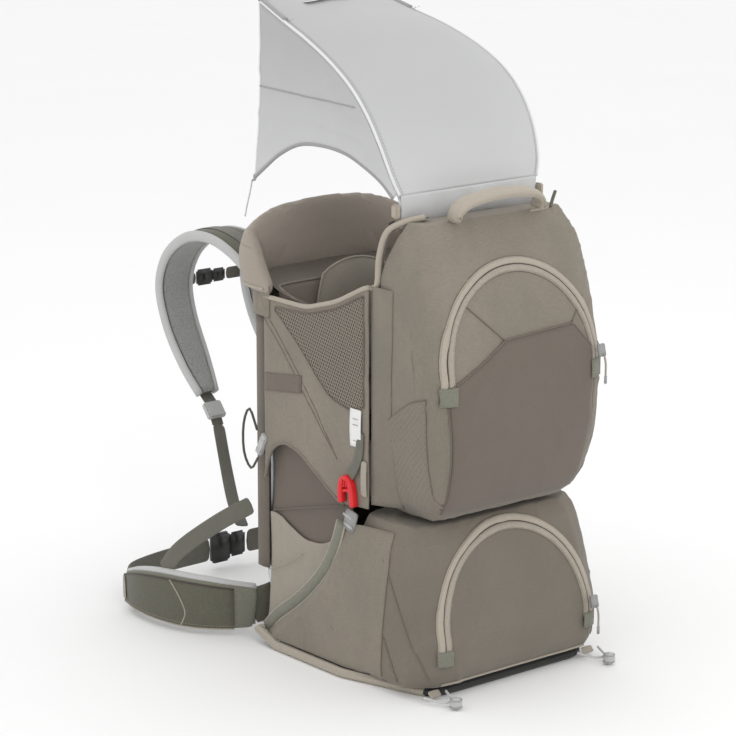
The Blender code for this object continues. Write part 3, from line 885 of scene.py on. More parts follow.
def garage(name, skin, x, z, half_w, half_h, body):
    """The stiffened fabric square that covers a zip's end."""
    left = [(x - half_w, b) for b in spread(z - half_h, z + half_h, 6)]
    right = [(x + half_w, b) for _, b in left]
    patch(name, skin, left, right, 6, 0.0032, "olive_grey", body, thick=0.0014)
    w = half_w - 0.0018
    h = half_h - 0.0018
    corners = ((x - w, z - h), (x + w, z - h), (x + w, z + h), (x - w, z + h), (x - w, z - h))
    stitch_piece(f"{name}_stitches", [[skin.rear(a, b, 0.0048) for a, b in corners]], "thread", body)


def slackness(p):
    """1 on the soft flanks of a bag and less on the taut middle of its rear."""
    return 0.45 + 0.55 * min(1.0, abs(p.x) / 0.13)


def stretch_pocket(skin, body):
    """The stretch pocket, its top edge rising to two corners, and the seams that leave them."""
    top = ((-0.129, 0.428), (-0.066, 0.456), (-0.029, 0.476), (0.094, 0.482), (0.129, 0.440))
    high = [(x, between(top, x)) for x in spread(-0.129, 0.129, 48)]
    low = [(x * 0.90, 0.250) for x, _ in high]
    patch("stretch_pocket", skin, low, high, 26, 0.0007, "stretch", body, thick=0.0012)
    rim = [skin.rear(x, z + 0.0004, 0.0016) for x, z in high]
    rod_piece("stretch_pocket_rim", rim, 0.0012, "dark", body)
    brows = {"left": ((-0.029, -0.084), (0.477, 0.527)), "right": ((0.094, 0.121), (0.483, 0.514))}
    for tag, (xs, zs) in brows.items():
        seam_on(f"{tag}_brow_seam", skin, list(zip(spread(*xs, 10), spread(*zs, 10))), 0.0011, "dark", body)


def pack_flank(tag, side, skin, body):
    """The pocket's side seam, the slanting flank seam and the ripstop panel under it."""
    line = list(zip(spread(side * 0.1168, side * 0.1298, 24), spread(0.252, 0.405, 24)))
    seam_on(f"pocket_seam_{tag}", skin, line, 0.0011, "dark", body)
    off = [[skin.rear(x + side * 0.004, z, 0.0003) for x, z in line]]
    stitch_piece(f"pocket_stitches_{tag}", off, "thread", body)
    slant = flat_path([(-0.056, 0.352), (-0.085, 0.378), (-0.120, 0.402), (-0.150, 0.412)])
    seam_on(f"flank_seam_{tag}", skin, slant, 0.0010, "dark", body, flank=side)
    rows = [[skin.flank(side, y, low, 0.0005) for low in spread(0.252, z - 0.001, 22)] for y, z in slant]
    grid_piece(f"ripstop_panel_{tag}", rows, "ripstop", body, thick=0.0008, offset=1.0)


def riser(tag, side, body):
    """The riser beside the cockpit, with its thick pale binding and a hook for the sunshade's pole."""
    knots = [(0.1475, -0.0365, 0.540), (0.1450, -0.0460, 0.548), (0.1450, -0.0500, 0.585),
             (0.1380, -0.0560, 0.617)]
    knots += [(0.1230, -0.0700, 0.631), (0.1000, -0.0900, 0.6385)]
    path = smooth_path(on_side(side, *knots), 6)
    rod_piece(f"riser_binding_{tag}", path, 0.0042, "trim", body)
    inner = [p + Vector((-side * 0.012, 0.004, -0.002)) for p in path]
    middle = [a.lerp(b, 0.5) + Vector((0, -0.004, 0.001)) for a, b in zip(path, inner)]
    grid_piece(f"riser_panel_{tag}", [path, middle, inner], "body", body, thick=0.0016, levels=1)
    hook = (side * 0.1290, -0.0560, 0.6240)
    box_piece(f"riser_hook_{tag}", hook, (0.010, 0.006, 0.016), "black", body, bevel=0.0015,
              turn=(0.5, 0.2 * side, 0))
    dress(f"pole_socket_{tag}", "trim")


def gusset(tag, side, skin, body):
    """The strip that carries a flank forward to the side cloth."""
    rows = []
    for z in spread(0.246, 0.545, 40):
        back = skin.flank(side, -0.082, z, 0.0006)
        front = Vector((side * 0.1492, -0.0412, z))
        middle = front.lerp(back, 0.5) + Vector((side * 0.0010, 0, 0))
        rows.append(smooth_path([front, middle, back], 5))
    grid_piece(f"pack_gusset_{tag}", rows, "body", body, thick=0.0012)
    rod_piece(f"pack_gusset_edge_{tag}", [row[0] for row in rows], 0.0014, "dark", body)


def upper_pack():
    body = "rear_pack"
    first = len(MADE)
    bag = fine_skin("pack_bag", "upper_bag", 3, 8)
    crumple(bag, 0.0032, 13.0, (1.0, 1.0, 0.7), seed=2.0, swell=0.0022, limit=slackness)
    crumple(bag, 0.0014, 36.0, (1.0, 1.0, 1.4), seed=7.0, limit=slackness)
    place(bag, "body", body, ["upper_bag"])
    skin = Skin(bag)
    zip_on("upper", skin, UPPER_ZIP, body, "upper_zip_track")
    for tag, side in SIDES:
        garage(f"upper_garage_{tag}", skin, side * 0.1305, 0.417, 0.0115, 0.0125, body)
    stretch_pocket(skin, body)
    for tag, side in SIDES:
        pack_flank(tag, side, skin, body)
    for tag, side in SIDES:
        riser(tag, side, body)
    pull = [skin.near((0.100, -0.110, 0.628), 0.001), (0.106, -0.112, 0.642), (0.111, -0.112, 0.653)]
    band_piece("top_pull", smooth_path(pull, 4), (0, 1, 0), 0.006, 0.0022, "tape", body)

    # Compression strap and clip on the far flank
    strap = [skin.flank(1.0, -0.140, 0.452, 0.001), (0.1545, -0.150, 0.440),
             skin.flank(1.0, -0.145, 0.398, 0.002)]
    band_piece("flank_strap", smooth_path(strap, 5), (0, 1, 0), 0.014, 0.0016, "tape", body)
    box_piece("flank_clip", (0.1535, -0.1485, 0.425), (0.006, 0.018, 0.026), "grey", body, bevel=0.0018)
    for tag, side in SIDES:
        gusset(tag, side, skin, body)
    slider_look("upper_zip_slider", "upper_slider")
    fold_along(first)


def slider_look(node, body):
    """A zip slider's body, its cord pull and the grip on it."""
    middle, (wide, deep, tall) = box_of(node)
    case = (wide, deep * 0.55, tall * 0.6)
    box_piece(f"{node}_case", middle, case, "grey", body, [node], bevel=0.0011, turn=(-0.24, 0, 0))
    foot = middle - Vector((0, deep / 2 + 0.0008, 0.006))
    drops = ((0, 0, 0), (0.001, -0.002, -0.012), (0.002, -0.001, -0.030))
    path = smooth_path([foot + Vector(drop) for drop in drops], 5)
    rod_piece(f"{node}_pull", path, 0.0014, "pale_tape", body)
    box_piece(f"{node}_grip", path[-1] + Vector((0, 0, -0.004)), (0.005, 0.003, 0.012), "grey", body,
              bevel=0.0012)


# The lower pack on the base
def lower_pack():
    body = "base"
    first = len(MADE)
    bag = fine_skin("base_bag", "lower_bag", 3, 8)
    crumple(bag, 0.0034, 12.0, (1.0, 1.0, 0.55), seed=4.0, swell=0.0022, limit=slackness)
    crumple(bag, 0.0016, 32.0, (1.3, 1.0, 1.0), seed=12.0, limit=slackness)
    for vertex in bag.data.vertices:
        vertex.co.z = max(vertex.co.z, 0.0142)
    place(bag, "body", body, ["lower_bag"])
    skin = Skin(bag)
    zip_on("lower", skin, LOWER_ZIP, body, "lower_zip_track")
    long_seam = ((0.165, -0.053, 0.217), (0.166, -0.085, 0.165), (0.168, -0.118, 0.112),
                 (0.160, -0.146, 0.065),
                 (0.150, -0.160, 0.028))
    short_seam = ((0.168, -0.030, 0.190), (0.170, -0.058, 0.130), (0.172, -0.092, 0.070),
                  (0.172, -0.118, 0.022))
    for tag, side in SIDES:
        garage(f"lower_garage_{tag}", skin, side * 0.1300, 0.059, 0.0105, 0.0105, body)
        path = [skin.near(p, 0.0004) for p in smooth_path(on_side(side, *long_seam), 8)]
        rod_piece(f"corner_seam_{tag}", path, 0.0011, "dark", body)
        path = [skin.near(p, 0.0004) for p in smooth_path(on_side(side, *short_seam), 8)]
        rod_piece(f"flank_seam_low_{tag}", path, 0.0010, "dark", body)
        off = [[skin.near(p + Vector((0, 0.005, 0)), 0.0003) for p in path]]
        stitch_piece(f"flank_stitches_low_{tag}", off, "thread", body)
    rim = [skin.rear(x, 0.0195, 0.0012) for x in spread(-0.130, 0.130, 30)]
    rod_piece("rear_rim", rim, 0.0017, "pale_tape", body)
    lower_sides(body, skin)
    slider_look("lower_zip_slider", "lower_slider")
    fold_along(first)


# The top of the cloth below the sleeved arm as (y, z), and how far out that cloth stands at each height
ARM_LINE = (
    (-0.020, 0.222), (0.008, 0.212), (0.022, 0.176), (0.046, 0.136),
    (0.082, 0.098), (0.116, 0.070), (0.150, 0.045), (0.172, 0.026),
)
LOW_SIDE_OUT = ((0.0, 0.1750), (0.03, 0.1755), (0.08, 0.1725), (0.15, 0.1665), (0.23, 0.1585))


def lower_sides(body, skin):
    """The side cloths between the sleeved arms and the base hoop, lying on the bag at the rear."""
    bag_end = -0.010
    for tag, side in SIDES:
        rows = []
        for y in spread(-0.086, 0.170, 60):
            top = eased(ARM_LINE, y, 0.010) - 0.0060
            free = clamped((y + 0.080) / 0.075)
            free = free * free * (3 - 2 * free)
            row = []
            for j, z in enumerate(spread(0.0150, top, 30)):
                p = Vector((0, y, z))
                crease = 0.0018 * folds(p, 15.0, (1, 1.0, 0.45), 2.5)
                crease += 0.0008 * folds(p, 34.0, (1, 1.2, 0.5), 6.0)
                tuck = min(1.0, (top - z) / 0.026)
                out = 0.1600 + (between(LOW_SIDE_OUT, z) - 0.1600) * tuck + crease * sin(pi * j / 30)
                bag = skin.flank(side, min(y, bag_end), z, 0.0009).x * side
                reach = max(bag if y < bag_end else 0.0, bag + (out - bag) * free)
                row.append(Vector((side * reach, y, z)))
            rows.append(row)
        cloth = grid_piece(f"low_side_cloth_{tag}", rows, "flank", body, thick=0.0012)


def base_parts():
    dress("base_hoop", "hoop")
    dress("base_board", "board")
    for tag, side in SIDES:
        middle = box_of(f"cord_ball_{tag}")[0]
        for k, lift in (("upper", 0.0050), ("lower", -0.0046)):
            ring = oval(middle + Vector((0, 0, lift)), Vector((0.0078, 0, 0)), Vector((0, 0.0078, 0)), 24)
            rod_piece(f"cord_ball_ring_{k}_{tag}", ring, 0.0007, "grey", "base", closed=True)
        anchor = on_side(side, (0.140, -0.1560, 0.0135), (0.140, -0.1620, 0.0060), (0.140, -0.1555, 0.0036))
        band_piece(f"cord_anchor_{tag}", smooth_path(anchor, 4), (1, 0, 0), 0.020, 0.0014, "pale_tape",
                   "base")


# The cockpit: sides, leg openings, collar and seat. Edges are (y, z) lines
SIDE_TOP = ((-0.0385, 0.545), (0.030, 0.512), (0.092, 0.494), (0.187, 0.494))
LEG_ARCH = (
    (-0.0385, 0.240), (0.012, 0.236), (0.034, 0.243), (0.066, 0.262), (0.098, 0.282),
    (0.124, 0.292), (0.146, 0.293), (0.166, 0.283), (0.180, 0.262), (0.187, 0.236),
)
NET_TOP = ((-0.030, 0.532), (0.030, 0.503), (0.090, 0.486), (0.160, 0.483))
NET_LOW = ((-0.030, 0.380), (-0.008, 0.368), (0.040, 0.380), (0.100, 0.434), (0.160, 0.480))


def eased(table, value, reach=0.012):
    """A table value with its corners rounded off over this reach."""
    return sum(between(table, value + reach * k / 2) for k in (-2, -1, 0, 1, 2)) / 5


def side_point(side, y, z, lift=0.0):
    """A point of the side cloth, which fills out a little between its edges and is lightly creased."""
    u = clamped((y - COCKPIT_REAR_Y) / (BACK_BOARD_Y - COCKPIT_REAR_Y))
    v = clamped((z - 0.240) / 0.27)
    full = 0.0030 * sin(pi * u) * sin(pi * v)
    crease = 0.0010 * folds(Vector((0.0, y, z)), 20.0, (1, 1.2, 0.6), 5.0 + side)
    return Vector((side * (SIDE_X + full + crease + lift), y, z))


def side_patch(name, side, low, high, look, lift, rows=24, thick=0.0008):
    """A panel on the side cloth between two (y, z) edges."""
    grid = []
    for (ya, za), (yb, zb) in zip(low, high):
        grid.append([side_point(side, y, z, lift) for y,
                     z in zip(spread(ya, yb, rows), spread(za, zb, rows))])
    return grid_piece(name, grid, look, "carrier_frame", thick=thick)


def side_line(name, side, points, radius, look, lift):
    return rod_piece(name, [side_point(side, y, z, lift) for y, z in points], radius, look, "carrier_frame")


def net_window(tag, side):
    """The net window, under its stitched edge."""
    across = spread(-0.030, 0.160, 40)
    low = [(y, eased(NET_LOW, y)) for y in across]
    high = [(y, max(eased(NET_TOP, y), z + 0.0005)) for y, z in low]
    side_patch(f"window_net_{tag}", side, low, high, "net", 0.0013)
    border = low + high[::-1]
    side_line(f"window_edge_{tag}", side, border + border[:1], 0.0009, "dark", 0.0019)
    ring = [[side_point(side, y, z, 0.0018) for y, z in border]]
    stitch_piece(f"window_stitches_{tag}", ring, "thread", "carrier_frame")


def wrapped_corner(tag, side, body):
    """The wrapped corner between side cloth and collar, its stitched square, and the dark edge below."""
    turn = ((0.1560, 0.172), (0.1550, 0.196), (0.1490, 0.217), (0.1300, 0.232))
    rows = [smooth_path(on_side(side, *((x, y, z) for x, y in turn)), 5) for z in spread(0.466, 0.510, 8)]
    grid_piece(f"corner_wrap_{tag}", rows, "body", body, thick=0.0022)
    square = ((0.178, 0.472), (0.200, 0.472), (0.200, 0.504), (0.178, 0.504), (0.178, 0.472))
    cross = (square[0], square[2])
    marks = [on_side(side, *((0.1572, y, z) for y, z in line)) for line in (square, cross)]
    stitch_piece(f"corner_stitches_{tag}", marks, "thread", body)
    bend = ((0.1462, 0.1890), (0.1478, 0.2010), (0.1465, 0.2130), (0.1390, 0.2205), (0.1250, 0.2230),
            (0.1150, 0.2180))
    edge = [on_side(side, *((x, y, z) for x, y in bend)) for z in spread(0.100, 0.466, 20)]
    grid_piece(f"back_edge_{tag}", edge, "dark", body, thick=0.0020)


def cockpit_sides():
    body = "carrier_frame"
    first = len(MADE)
    across = spread(COCKPIT_REAR_Y, BACK_BOARD_Y, 56)
    for tag, side in SIDES:
        rows = []
        for y in across:
            heights = spread(between(LEG_ARCH, y), eased(SIDE_TOP, y), 44)
            rows.append([side_point(side, y, z) for z in heights])
        sheet = grid_piece(f"side_cloth_{tag}", rows, "flank", body, [f"side_panel_{tag}"], thick=0.0016)
        net_window(tag, side)

        # Two pipings run from the collar corner to the red hook, and a dark tape crosses behind them
        for k, shift in (("front", 0.0), ("rear", 0.011)):
            knots = [(y, z - shift) for y, z in ((0.186, 0.474), (0.128, 0.420), (0.073, 0.360))]
            line = flat_path([*knots, (0.026, 0.296)], 8)
            side_line(f"brace_piping_{k}_{tag}", side, line, 0.0010, "dark", 0.0006)
        low = list(zip(spread(0.100, 0.186, 12), spread(0.373, 0.361, 12)))
        high = [(y, z + 0.025) for y, z in low]
        side_patch(f"lift_tape_{tag}", side, low, high, "dark", 0.0014, rows=8, thick=0.0014)

        # Bindings along the top edge and the leg arch
        top_line = [(y, eased(SIDE_TOP, y)) for y in across]
        side_line(f"cockpit_binding_{tag}", side, top_line, 0.0034, "trim", 0.0)
        arch = flat_path(LEG_ARCH, 4)
        side_line(f"leg_binding_{tag}", side, arch[4:], 0.0024, "body", 0.0)
        hem = [[side_point(side, y, z + 0.006, 0.0010) for y, z in arch[8:]]]
        stitch_piece(f"leg_stitches_{tag}", hem, "thread", body)
        daisy = on_side(side, (0.1565, -0.032, 0.306), (0.1590, -0.034, 0.280), (0.1565, -0.032, 0.256))
        band_piece(f"daisy_loop_{tag}", smooth_path(daisy, 5), (0, 1, 0), 0.012, 0.0015, "pale_tape", body)
        wrapped_corner(tag, side, body)
    label()
    hooks()
    fold_along(first, leave=("back_edge", "corner", "hook", "cinch"))


def liner():
    """The cockpit's lining, inside the side cloths and the back board, and the child's back pad on it."""
    half = ((-0.1395, 0.010), (-0.1395, 0.090), (-0.1385, 0.160), (-0.1250, 0.1830), (-0.060, 0.1860),
            (0, 0.1865))
    bend = mirrored(smooth_path([(x, y, 0) for x, y in half], 6))
    rows = []
    for share in spread(0, 1, 20):
        row = []
        for p in bend:
            low = 0.345 - 0.050 * clamped((p.y - 0.165) / 0.015)
            high = 0.488 + 0.020 * clamped((p.y - 0.10) / 0.08)
            row.append(Vector((p.x, p.y, low + (high - low) * share)))
        rows.append(row)
    wall = grid_piece("cockpit_liner", rows, "lining", "carrier_frame", thick=0.0014)
    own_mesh(wall)
    pad = []
    for t in spread(-1, 1, 16):
        row = []
        for s in spread(-1, 1, 16):
            x = 0.068 * s * (1 - 0.34 * t * t) ** 0.5
            z = 0.4425 + 0.0875 * t * (1 - 0.34 * s * s) ** 0.5
            row.append(Vector((x, 0.1800 - 0.016 * (1 - s**4) * (1 - t**4), z)))
        pad.append(row)
    cushion = grid_piece("child_back_pad", pad, "seat", "carrier_frame", thick=0.003, levels=1)
    ring = pad[0] + [row[-1] for row in pad] + pad[-1][::-1] + [row[0] for row in reversed(pad)]
    ring = [p + Vector((0, -0.0012, 0)) for p in ring[::2]]
    rod_piece("child_back_piping", ring, 0.0018, "trim", "carrier_frame", closed=True)


def label():
    """The blank side label, curled a little outward, with three stitched bars and no text."""
    low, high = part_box("side_label")
    rows = []
    for i, z in enumerate(spread(low[2], high[2], 12)):
        x = low[0] - 0.0062 - 0.00121 * sin(pi * i / 12)
        rows.append([Vector((x, y, z)) for y in spread(low[1], high[1], 6)])
    grid_piece("blank_label", rows, "label", "carrier_frame", ["side_label"], thick=0.0006)
    x = low[0] - 0.0083
    bars = []
    for z, inset in ((0.331, 0.007), (0.353, 0.005), (0.361, 0.005)):
        bars.append([Vector((x, low[1] + inset, z)), Vector((x, high[1] - inset, z))])
    stitch_piece("label_stitches", bars, "dark", "carrier_frame", stitch=0.002, gap=0.0008, radius=0.0004)


# The sleeved arm's middle, from the base up to the hook, and the leg flap's edges, as (y, z) lines
ARM_MIDDLE = (
    (0.175, 0.020), (0.150, 0.045), (0.116, 0.070), (0.082, 0.098),
    (0.046, 0.136), (0.022, 0.176), (0.008, 0.212),
)
FLAP_UNDER = (
    (0.010, 0.208), (0.022, 0.176), (0.046, 0.136), (0.082, 0.098),
    (0.116, 0.070), (0.150, 0.045), (0.184, 0.030),
)
FLAP_OVER = (
    (0.010, 0.212), (0.037, 0.180), (0.070, 0.163), (0.107, 0.160),
    (0.140, 0.172), (0.170, 0.186), (0.186, 0.184),
)


def seat_arm(tag, side):
    """The sleeved arm that holds the seat's sides up, with a piping along each edge."""
    arm = smooth_path([(side * ARM_X, y, z) for y, z in ARM_MIDDLE], 8)
    outward = Vector((side, 0, 0))
    rings = []
    for p, t in zip(arm, tangents(arm)):
        wide = 0.0088 * (1 + 0.05 * noise.noise(p * 60))
        rings.append(oval(p, t.cross(outward).normalized() * wide, outward * 0.0068, 16))
    loft_piece(f"arm_sleeve_{tag}", rings, "olive_grey", "seat_arms", [f"seat_arm_{tag}"])
    for k, shift in (("upper", 0.0084), ("lower", -0.0084)):
        lines = zip(arm, tangents(arm))
        line = [p + t.cross(Vector((1, 0, 0))).normalized() * shift + outward * 0.0028 for p, t in lines]
        rod_piece(f"arm_piping_{k}_{tag}", line, 0.0016, "pale_tape", "seat_arms")


def leg_openings():
    """The sleeved arm, the pale flap above it and the seat side behind them, darkened as painted shade."""
    across = spread(0.012, 0.186, 40)
    for tag, side in SIDES:
        seat_arm(tag, side)
        rows = []
        for y in across:
            low = eased(FLAP_UNDER, y, 0.01)
            high = max(eased(FLAP_OVER, y, 0.01), low + 0.001)
            row = []
            for j, z in enumerate(spread(low, high, 24)):
                s = j / 24
                bow = 0.004 * sin(pi * s) + 0.0012 * folds(Vector((0, y, z)), 18.0, (1, 1, 0.5), 3.0)
                row.append(Vector((side * (0.1515 - 0.0060 * s - bow), y, z)))
            rows.append(row)
        node = [f"seat_flap_{tag}"]
        flap = grid_piece(f"leg_flap_{tag}", rows, "seat", "carrier_frame", node, thick=0.0014)
        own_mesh(flap)
        seam = [Vector((side * 0.1500, y, z)) for y,
                z in flat_path([(0.186, 0.100), (0.150, 0.116), (0.110, 0.140)])]
        fold = rod_piece(f"flap_seam_{tag}", seam, 0.0008, "pale_tape", "carrier_frame")
        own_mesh(fold)

        rows = []
        for y in across:
            row = []
            for j, z in enumerate(spread(eased(FLAP_OVER, y, 0.01) - 0.012, 0.306, 12)):
                row.append(Vector((side * (0.1420 - 0.004 * sin(pi * j / 12)), y, z)))
            rows.append(row)
        # The seat side takes the dark stretch cloth as painted shade inside the leg opening
        inner = grid_piece(f"seat_side_{tag}", rows, "stretch", "carrier_frame", thick=0.0014)
        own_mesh(inner)
        seam = [Vector((side * 0.1436, y, 0.226 - 0.040 * (y - 0.034) / 0.15)) for y in across[3:-1]]
        hem = rod_piece(f"seat_side_seam_{tag}", seam, 0.0010, "dark", "carrier_frame")
        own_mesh(hem)


def red_hook(tag, side, body):
    """The red hook: a bent frame with a head, a bar across and three grip ribs."""
    x = side * ARM_X
    spine = ((-0.0150, 0.2380), (-0.0130, 0.2560), (-0.0095, 0.2690), (-0.0035, 0.2755), (0.0035, 0.2755),
             (0.0090, 0.2690), (0.0110, 0.2560), (0.0095, 0.2400))
    head = ((-0.0060, 0.2670), (0.0000, 0.2700), (0.0060, 0.2670))
    bar = ((-0.0085, 0.2580), (-0.0020, 0.2600), (0.0060, 0.2570))
    path = smooth_path([(x, y, z) for y, z in spine], 5)
    band_piece(f"red_hook_frame_{tag}", path, (1, 0, 0), 0.0125, 0.0080, "red", body, [f"red_hook_{tag}"],
               crown=0.0008)
    path = smooth_path([(x, y, z) for y, z in head], 4)
    band_piece(f"red_hook_head_{tag}", path, (1, 0, 0), 0.0105, 0.0110, "red", body)
    path = smooth_path([(x, y, z) for y, z in bar], 4)
    band_piece(f"red_hook_bar_{tag}", path, (1, 0, 0), 0.0080, 0.0050, "red", body)
    for k in range(3):
        y = -0.006 + 0.0045 * k
        rib = [Vector((x + side * 0.0064, y, 0.2745)), Vector((x + side * 0.0056, y - 0.0005, 0.2660))]
        rod_piece(f"red_hook_rib_{k}_{tag}", rib, 0.0009, "red", body)


def hooks():
    tilt = (0.30, 0, 0)
    for tag, side in SIDES:
        body = f"red_hook_{tag}"
        red_hook(tag, side, body)

        # The ladder plate that the hook grips, on the top of the arm
        x = side * ARM_X
        foot = Vector((x, -0.0080, 0.2180))
        size = (0.0080, 0.022, 0.030)
        box_piece(f"hook_ladder_{tag}", foot, size, "grey", "seat_arms", bevel=0.0022, turn=tilt)
        size = (0.0030, 0.018, 0.0040)
        for k in range(2):
            spot = foot + Vector((side * 0.0042, 0.0020 - 0.002 * k, 0.0065 - 0.013 * k))
            box_piece(f"hook_ladder_rung_{k}_{tag}", spot, size, "pale_grey", "seat_arms", bevel=0.0012,
                      turn=tilt)
        under = side * 0.1572
        knots = [(under, -0.0250, 0.3450), (under, -0.0220, 0.3120), (x, -0.0135, 0.2900),
                 (x, -0.0050, 0.2800)]
        tape = smooth_path(knots, 4)
        held = band_piece(f"hook_tape_{tag}", tape, (0, 1, 0), 0.016, 0.0016, "tape", None)
        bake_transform(held)

        middle = box_of(f"cinch_buckle_{tag}")[0]
        dress(f"cinch_buckle_{tag}", "pale_grey")
        size = (0.0030, 0.0110, 0.0036)
        for k, shift in enumerate((-0.008, 0.008)):
            spot = middle + Vector((side * 0.0036, -shift * 0.5, shift))
            box_piece(f"cinch_bar_{k}_{tag}", spot, size, "pale_grey", "carrier_frame", bevel=0.0010,
                      turn=(0.5, 0, 0))


def collar():
    roll = remeshed("collar_roll", "collar_pad", 0.0042, 3)
    plump(roll, cap=0.005)
    crumple(roll, 0.0012, 18.0, (1.0, 1.0, 0.5), seed=6.0, swell=0.0012)
    place(roll, "collar", "carrier_frame", ["collar_pad"])
    skin = Skin(roll)
    foot = ((-0.1600, 0.180), (-0.1640, 0.200), (-0.1580, 0.222), (-0.126, 0.252), (-0.064, 0.266),
            (0.0, 0.270))
    knots = mirrored([Vector((x, y, 0.506 + 0.006 * (1 - abs(x) / 0.15))) for x, y in foot])
    line = smooth_path(knots, 8)
    path = [skin.near(p, 0.0006) for p in line]
    rod_piece("collar_foot_piping", path, 0.0020, "trim", "carrier_frame")
    top = [skin.near(p + Vector((0, 0.010, 0.055)), 0.0002) for p in line[6:-6]]
    stitch_piece("collar_stitches", [top], "thread", "carrier_frame")

    # The skirt that closes the step between the liner's top edge and the collar's foot, dark as painted shade
    # in that gap
    inside = [(-0.1390, 0.060, 0.489), (-0.1385, 0.130, 0.497), (-0.1370, 0.160, 0.503),
              (-0.1250, 0.181, 0.5055),
              (-0.060, 0.1845, 0.5055), (0.0, 0.185, 0.5055)]
    outside = [(-0.1440, 0.060, 0.491), (-0.1450, 0.130, 0.497), (-0.1440, 0.180, 0.508),
               (-0.1380, 0.214, 0.516),
               (-0.080, 0.240, 0.520), (0.0, 0.243, 0.522)]
    rows = []
    for a, b in zip(mirrored(smooth_path(inside, 6)), mirrored(smooth_path(outside, 6))):
        rows.append(smooth_path([a, a.lerp(b, 0.5) + Vector((0, 0, -0.003)), b], 4))
    skirt = grid_piece("collar_skirt", rows, "dark", "carrier_frame", thick=0.0012)
    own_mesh(skirt)


def seat():
    pad = remeshed("seat_cushion", "seat_pad", 0.0045, 4)
    plump(pad, cap=0.005)
    place(pad, "seat", "seat", ["seat_pad"])
    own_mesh(pad)
    strap = smooth_path([(0.0, 0.190, 0.262), (0.0, 0.1905, 0.320), (0.0, 0.1900, 0.420)], 5)
    band_piece("seat_strap", strap, (1, 0, 0), 0.030, 0.0016, "tape", "seat")


# The sunshade: its seam and hem as (y, z) lines, and the crown's half width and rise at each knot of the seam
HOOD_SEAM = (
    (0.256, 0.884), (0.190, 0.864), (0.130, 0.847), (0.070, 0.824), (0.022, 0.797),
    (-0.012, 0.765), (-0.036, 0.728), (-0.052, 0.690), (-0.059, 0.664),
)
HOOD_HEM = (
    (0.246, 0.648), (0.222, 0.664), (0.185, 0.688), (0.140, 0.707), (0.090, 0.712),
    (0.040, 0.708), (0.000, 0.695), (-0.033, 0.679), (-0.054, 0.661),
)
HOOD_HALF = (0.102, 0.113, 0.123, 0.131, 0.1355, 0.1365, 0.1345, 0.129, 0.120)
HOOD_CROWN = (0.008, 0.012, 0.016, 0.019, 0.020, 0.020, 0.018, 0.015, 0.011)


def crown_fall(edge, body):
    """The cloth that falls from the crown's rear edge to its foot on the pack, and the gathers along it."""
    fall = []
    for j, s in enumerate(spread(-1, 1, 64)):
        p = at_share(edge, j / 64)
        foot = Vector((0.117 * s, -0.0650 + 0.003 * s * s, 0.6225))
        row = []
        for t in spread(0, 1, 12):
            gather = 0.0030 * sin(pi * t) * (1 - s * s) + 0.0014 * sin(26 * s) * t
            back = -0.003 * sin(pi * t) * (1 - s * s) - gather * noise.noise(p * 40)
            row.append(p.lerp(foot, t) + Vector((0, back, 0.0)))
        fall.append(row)
    grid_piece("crown_rear_fall", fall, "hood", body, thick=0.0008)
    ruffle = []
    for row, s in zip(fall, spread(-1, 1, 64)):
        pleats = []
        for k in range(4):
            out = 0.0012 + 0.0016 * sin(21 * s + k)
            pleats.append(row[-1] + Vector((0, out, 0.0095 - 0.0034 * k + 0.0012 * sin(13 * s + 2 * k))))
        ruffle.append(pleats)
    grid_piece("crown_rear_gather", ruffle, "hood_edge", body, thick=0.0007)


def crown_edge(tag, side, seam, ups, halves, body):
    """The piping, stitches, pole sleeve and cross tack along one edge of the crown."""
    path = [p + Vector((side * (half + 0.0010), 0, 0)) + up * 0.0040 for p, up,
            half in zip(seam, ups, halves)]
    rod_piece(f"crown_piping_{tag}", path, 0.0021, "hood_edge", body)
    flange = [q + Vector((-side * 0.0052, 0, 0)) + up * 0.0022 for q, up in zip(path, ups)]
    stitch_piece(f"crown_stitches_{tag}", [flange], "hood_bind", body, radius=0.0003)
    sleeve = [q + Vector((-side * 0.0030, 0, 0.0012)) for q in path[:9]]
    first = sleeve[0] + (sleeve[0] - sleeve[1]).normalized() * 0.006
    rod_piece(f"pole_sleeve_{tag}", [first, *sleeve], 0.0042, "hood_bind", body)
    tack = path[9] + Vector((-side * 0.004, 0.0, 0.004))
    arms = (Vector((-0.004, -0.006, 0.003)), Vector((0.004, -0.006, 0.003)))
    stitch_piece(f"pole_tack_{tag}", [[tack + arm, tack - arm] for arm in arms], "hood_bind", body)


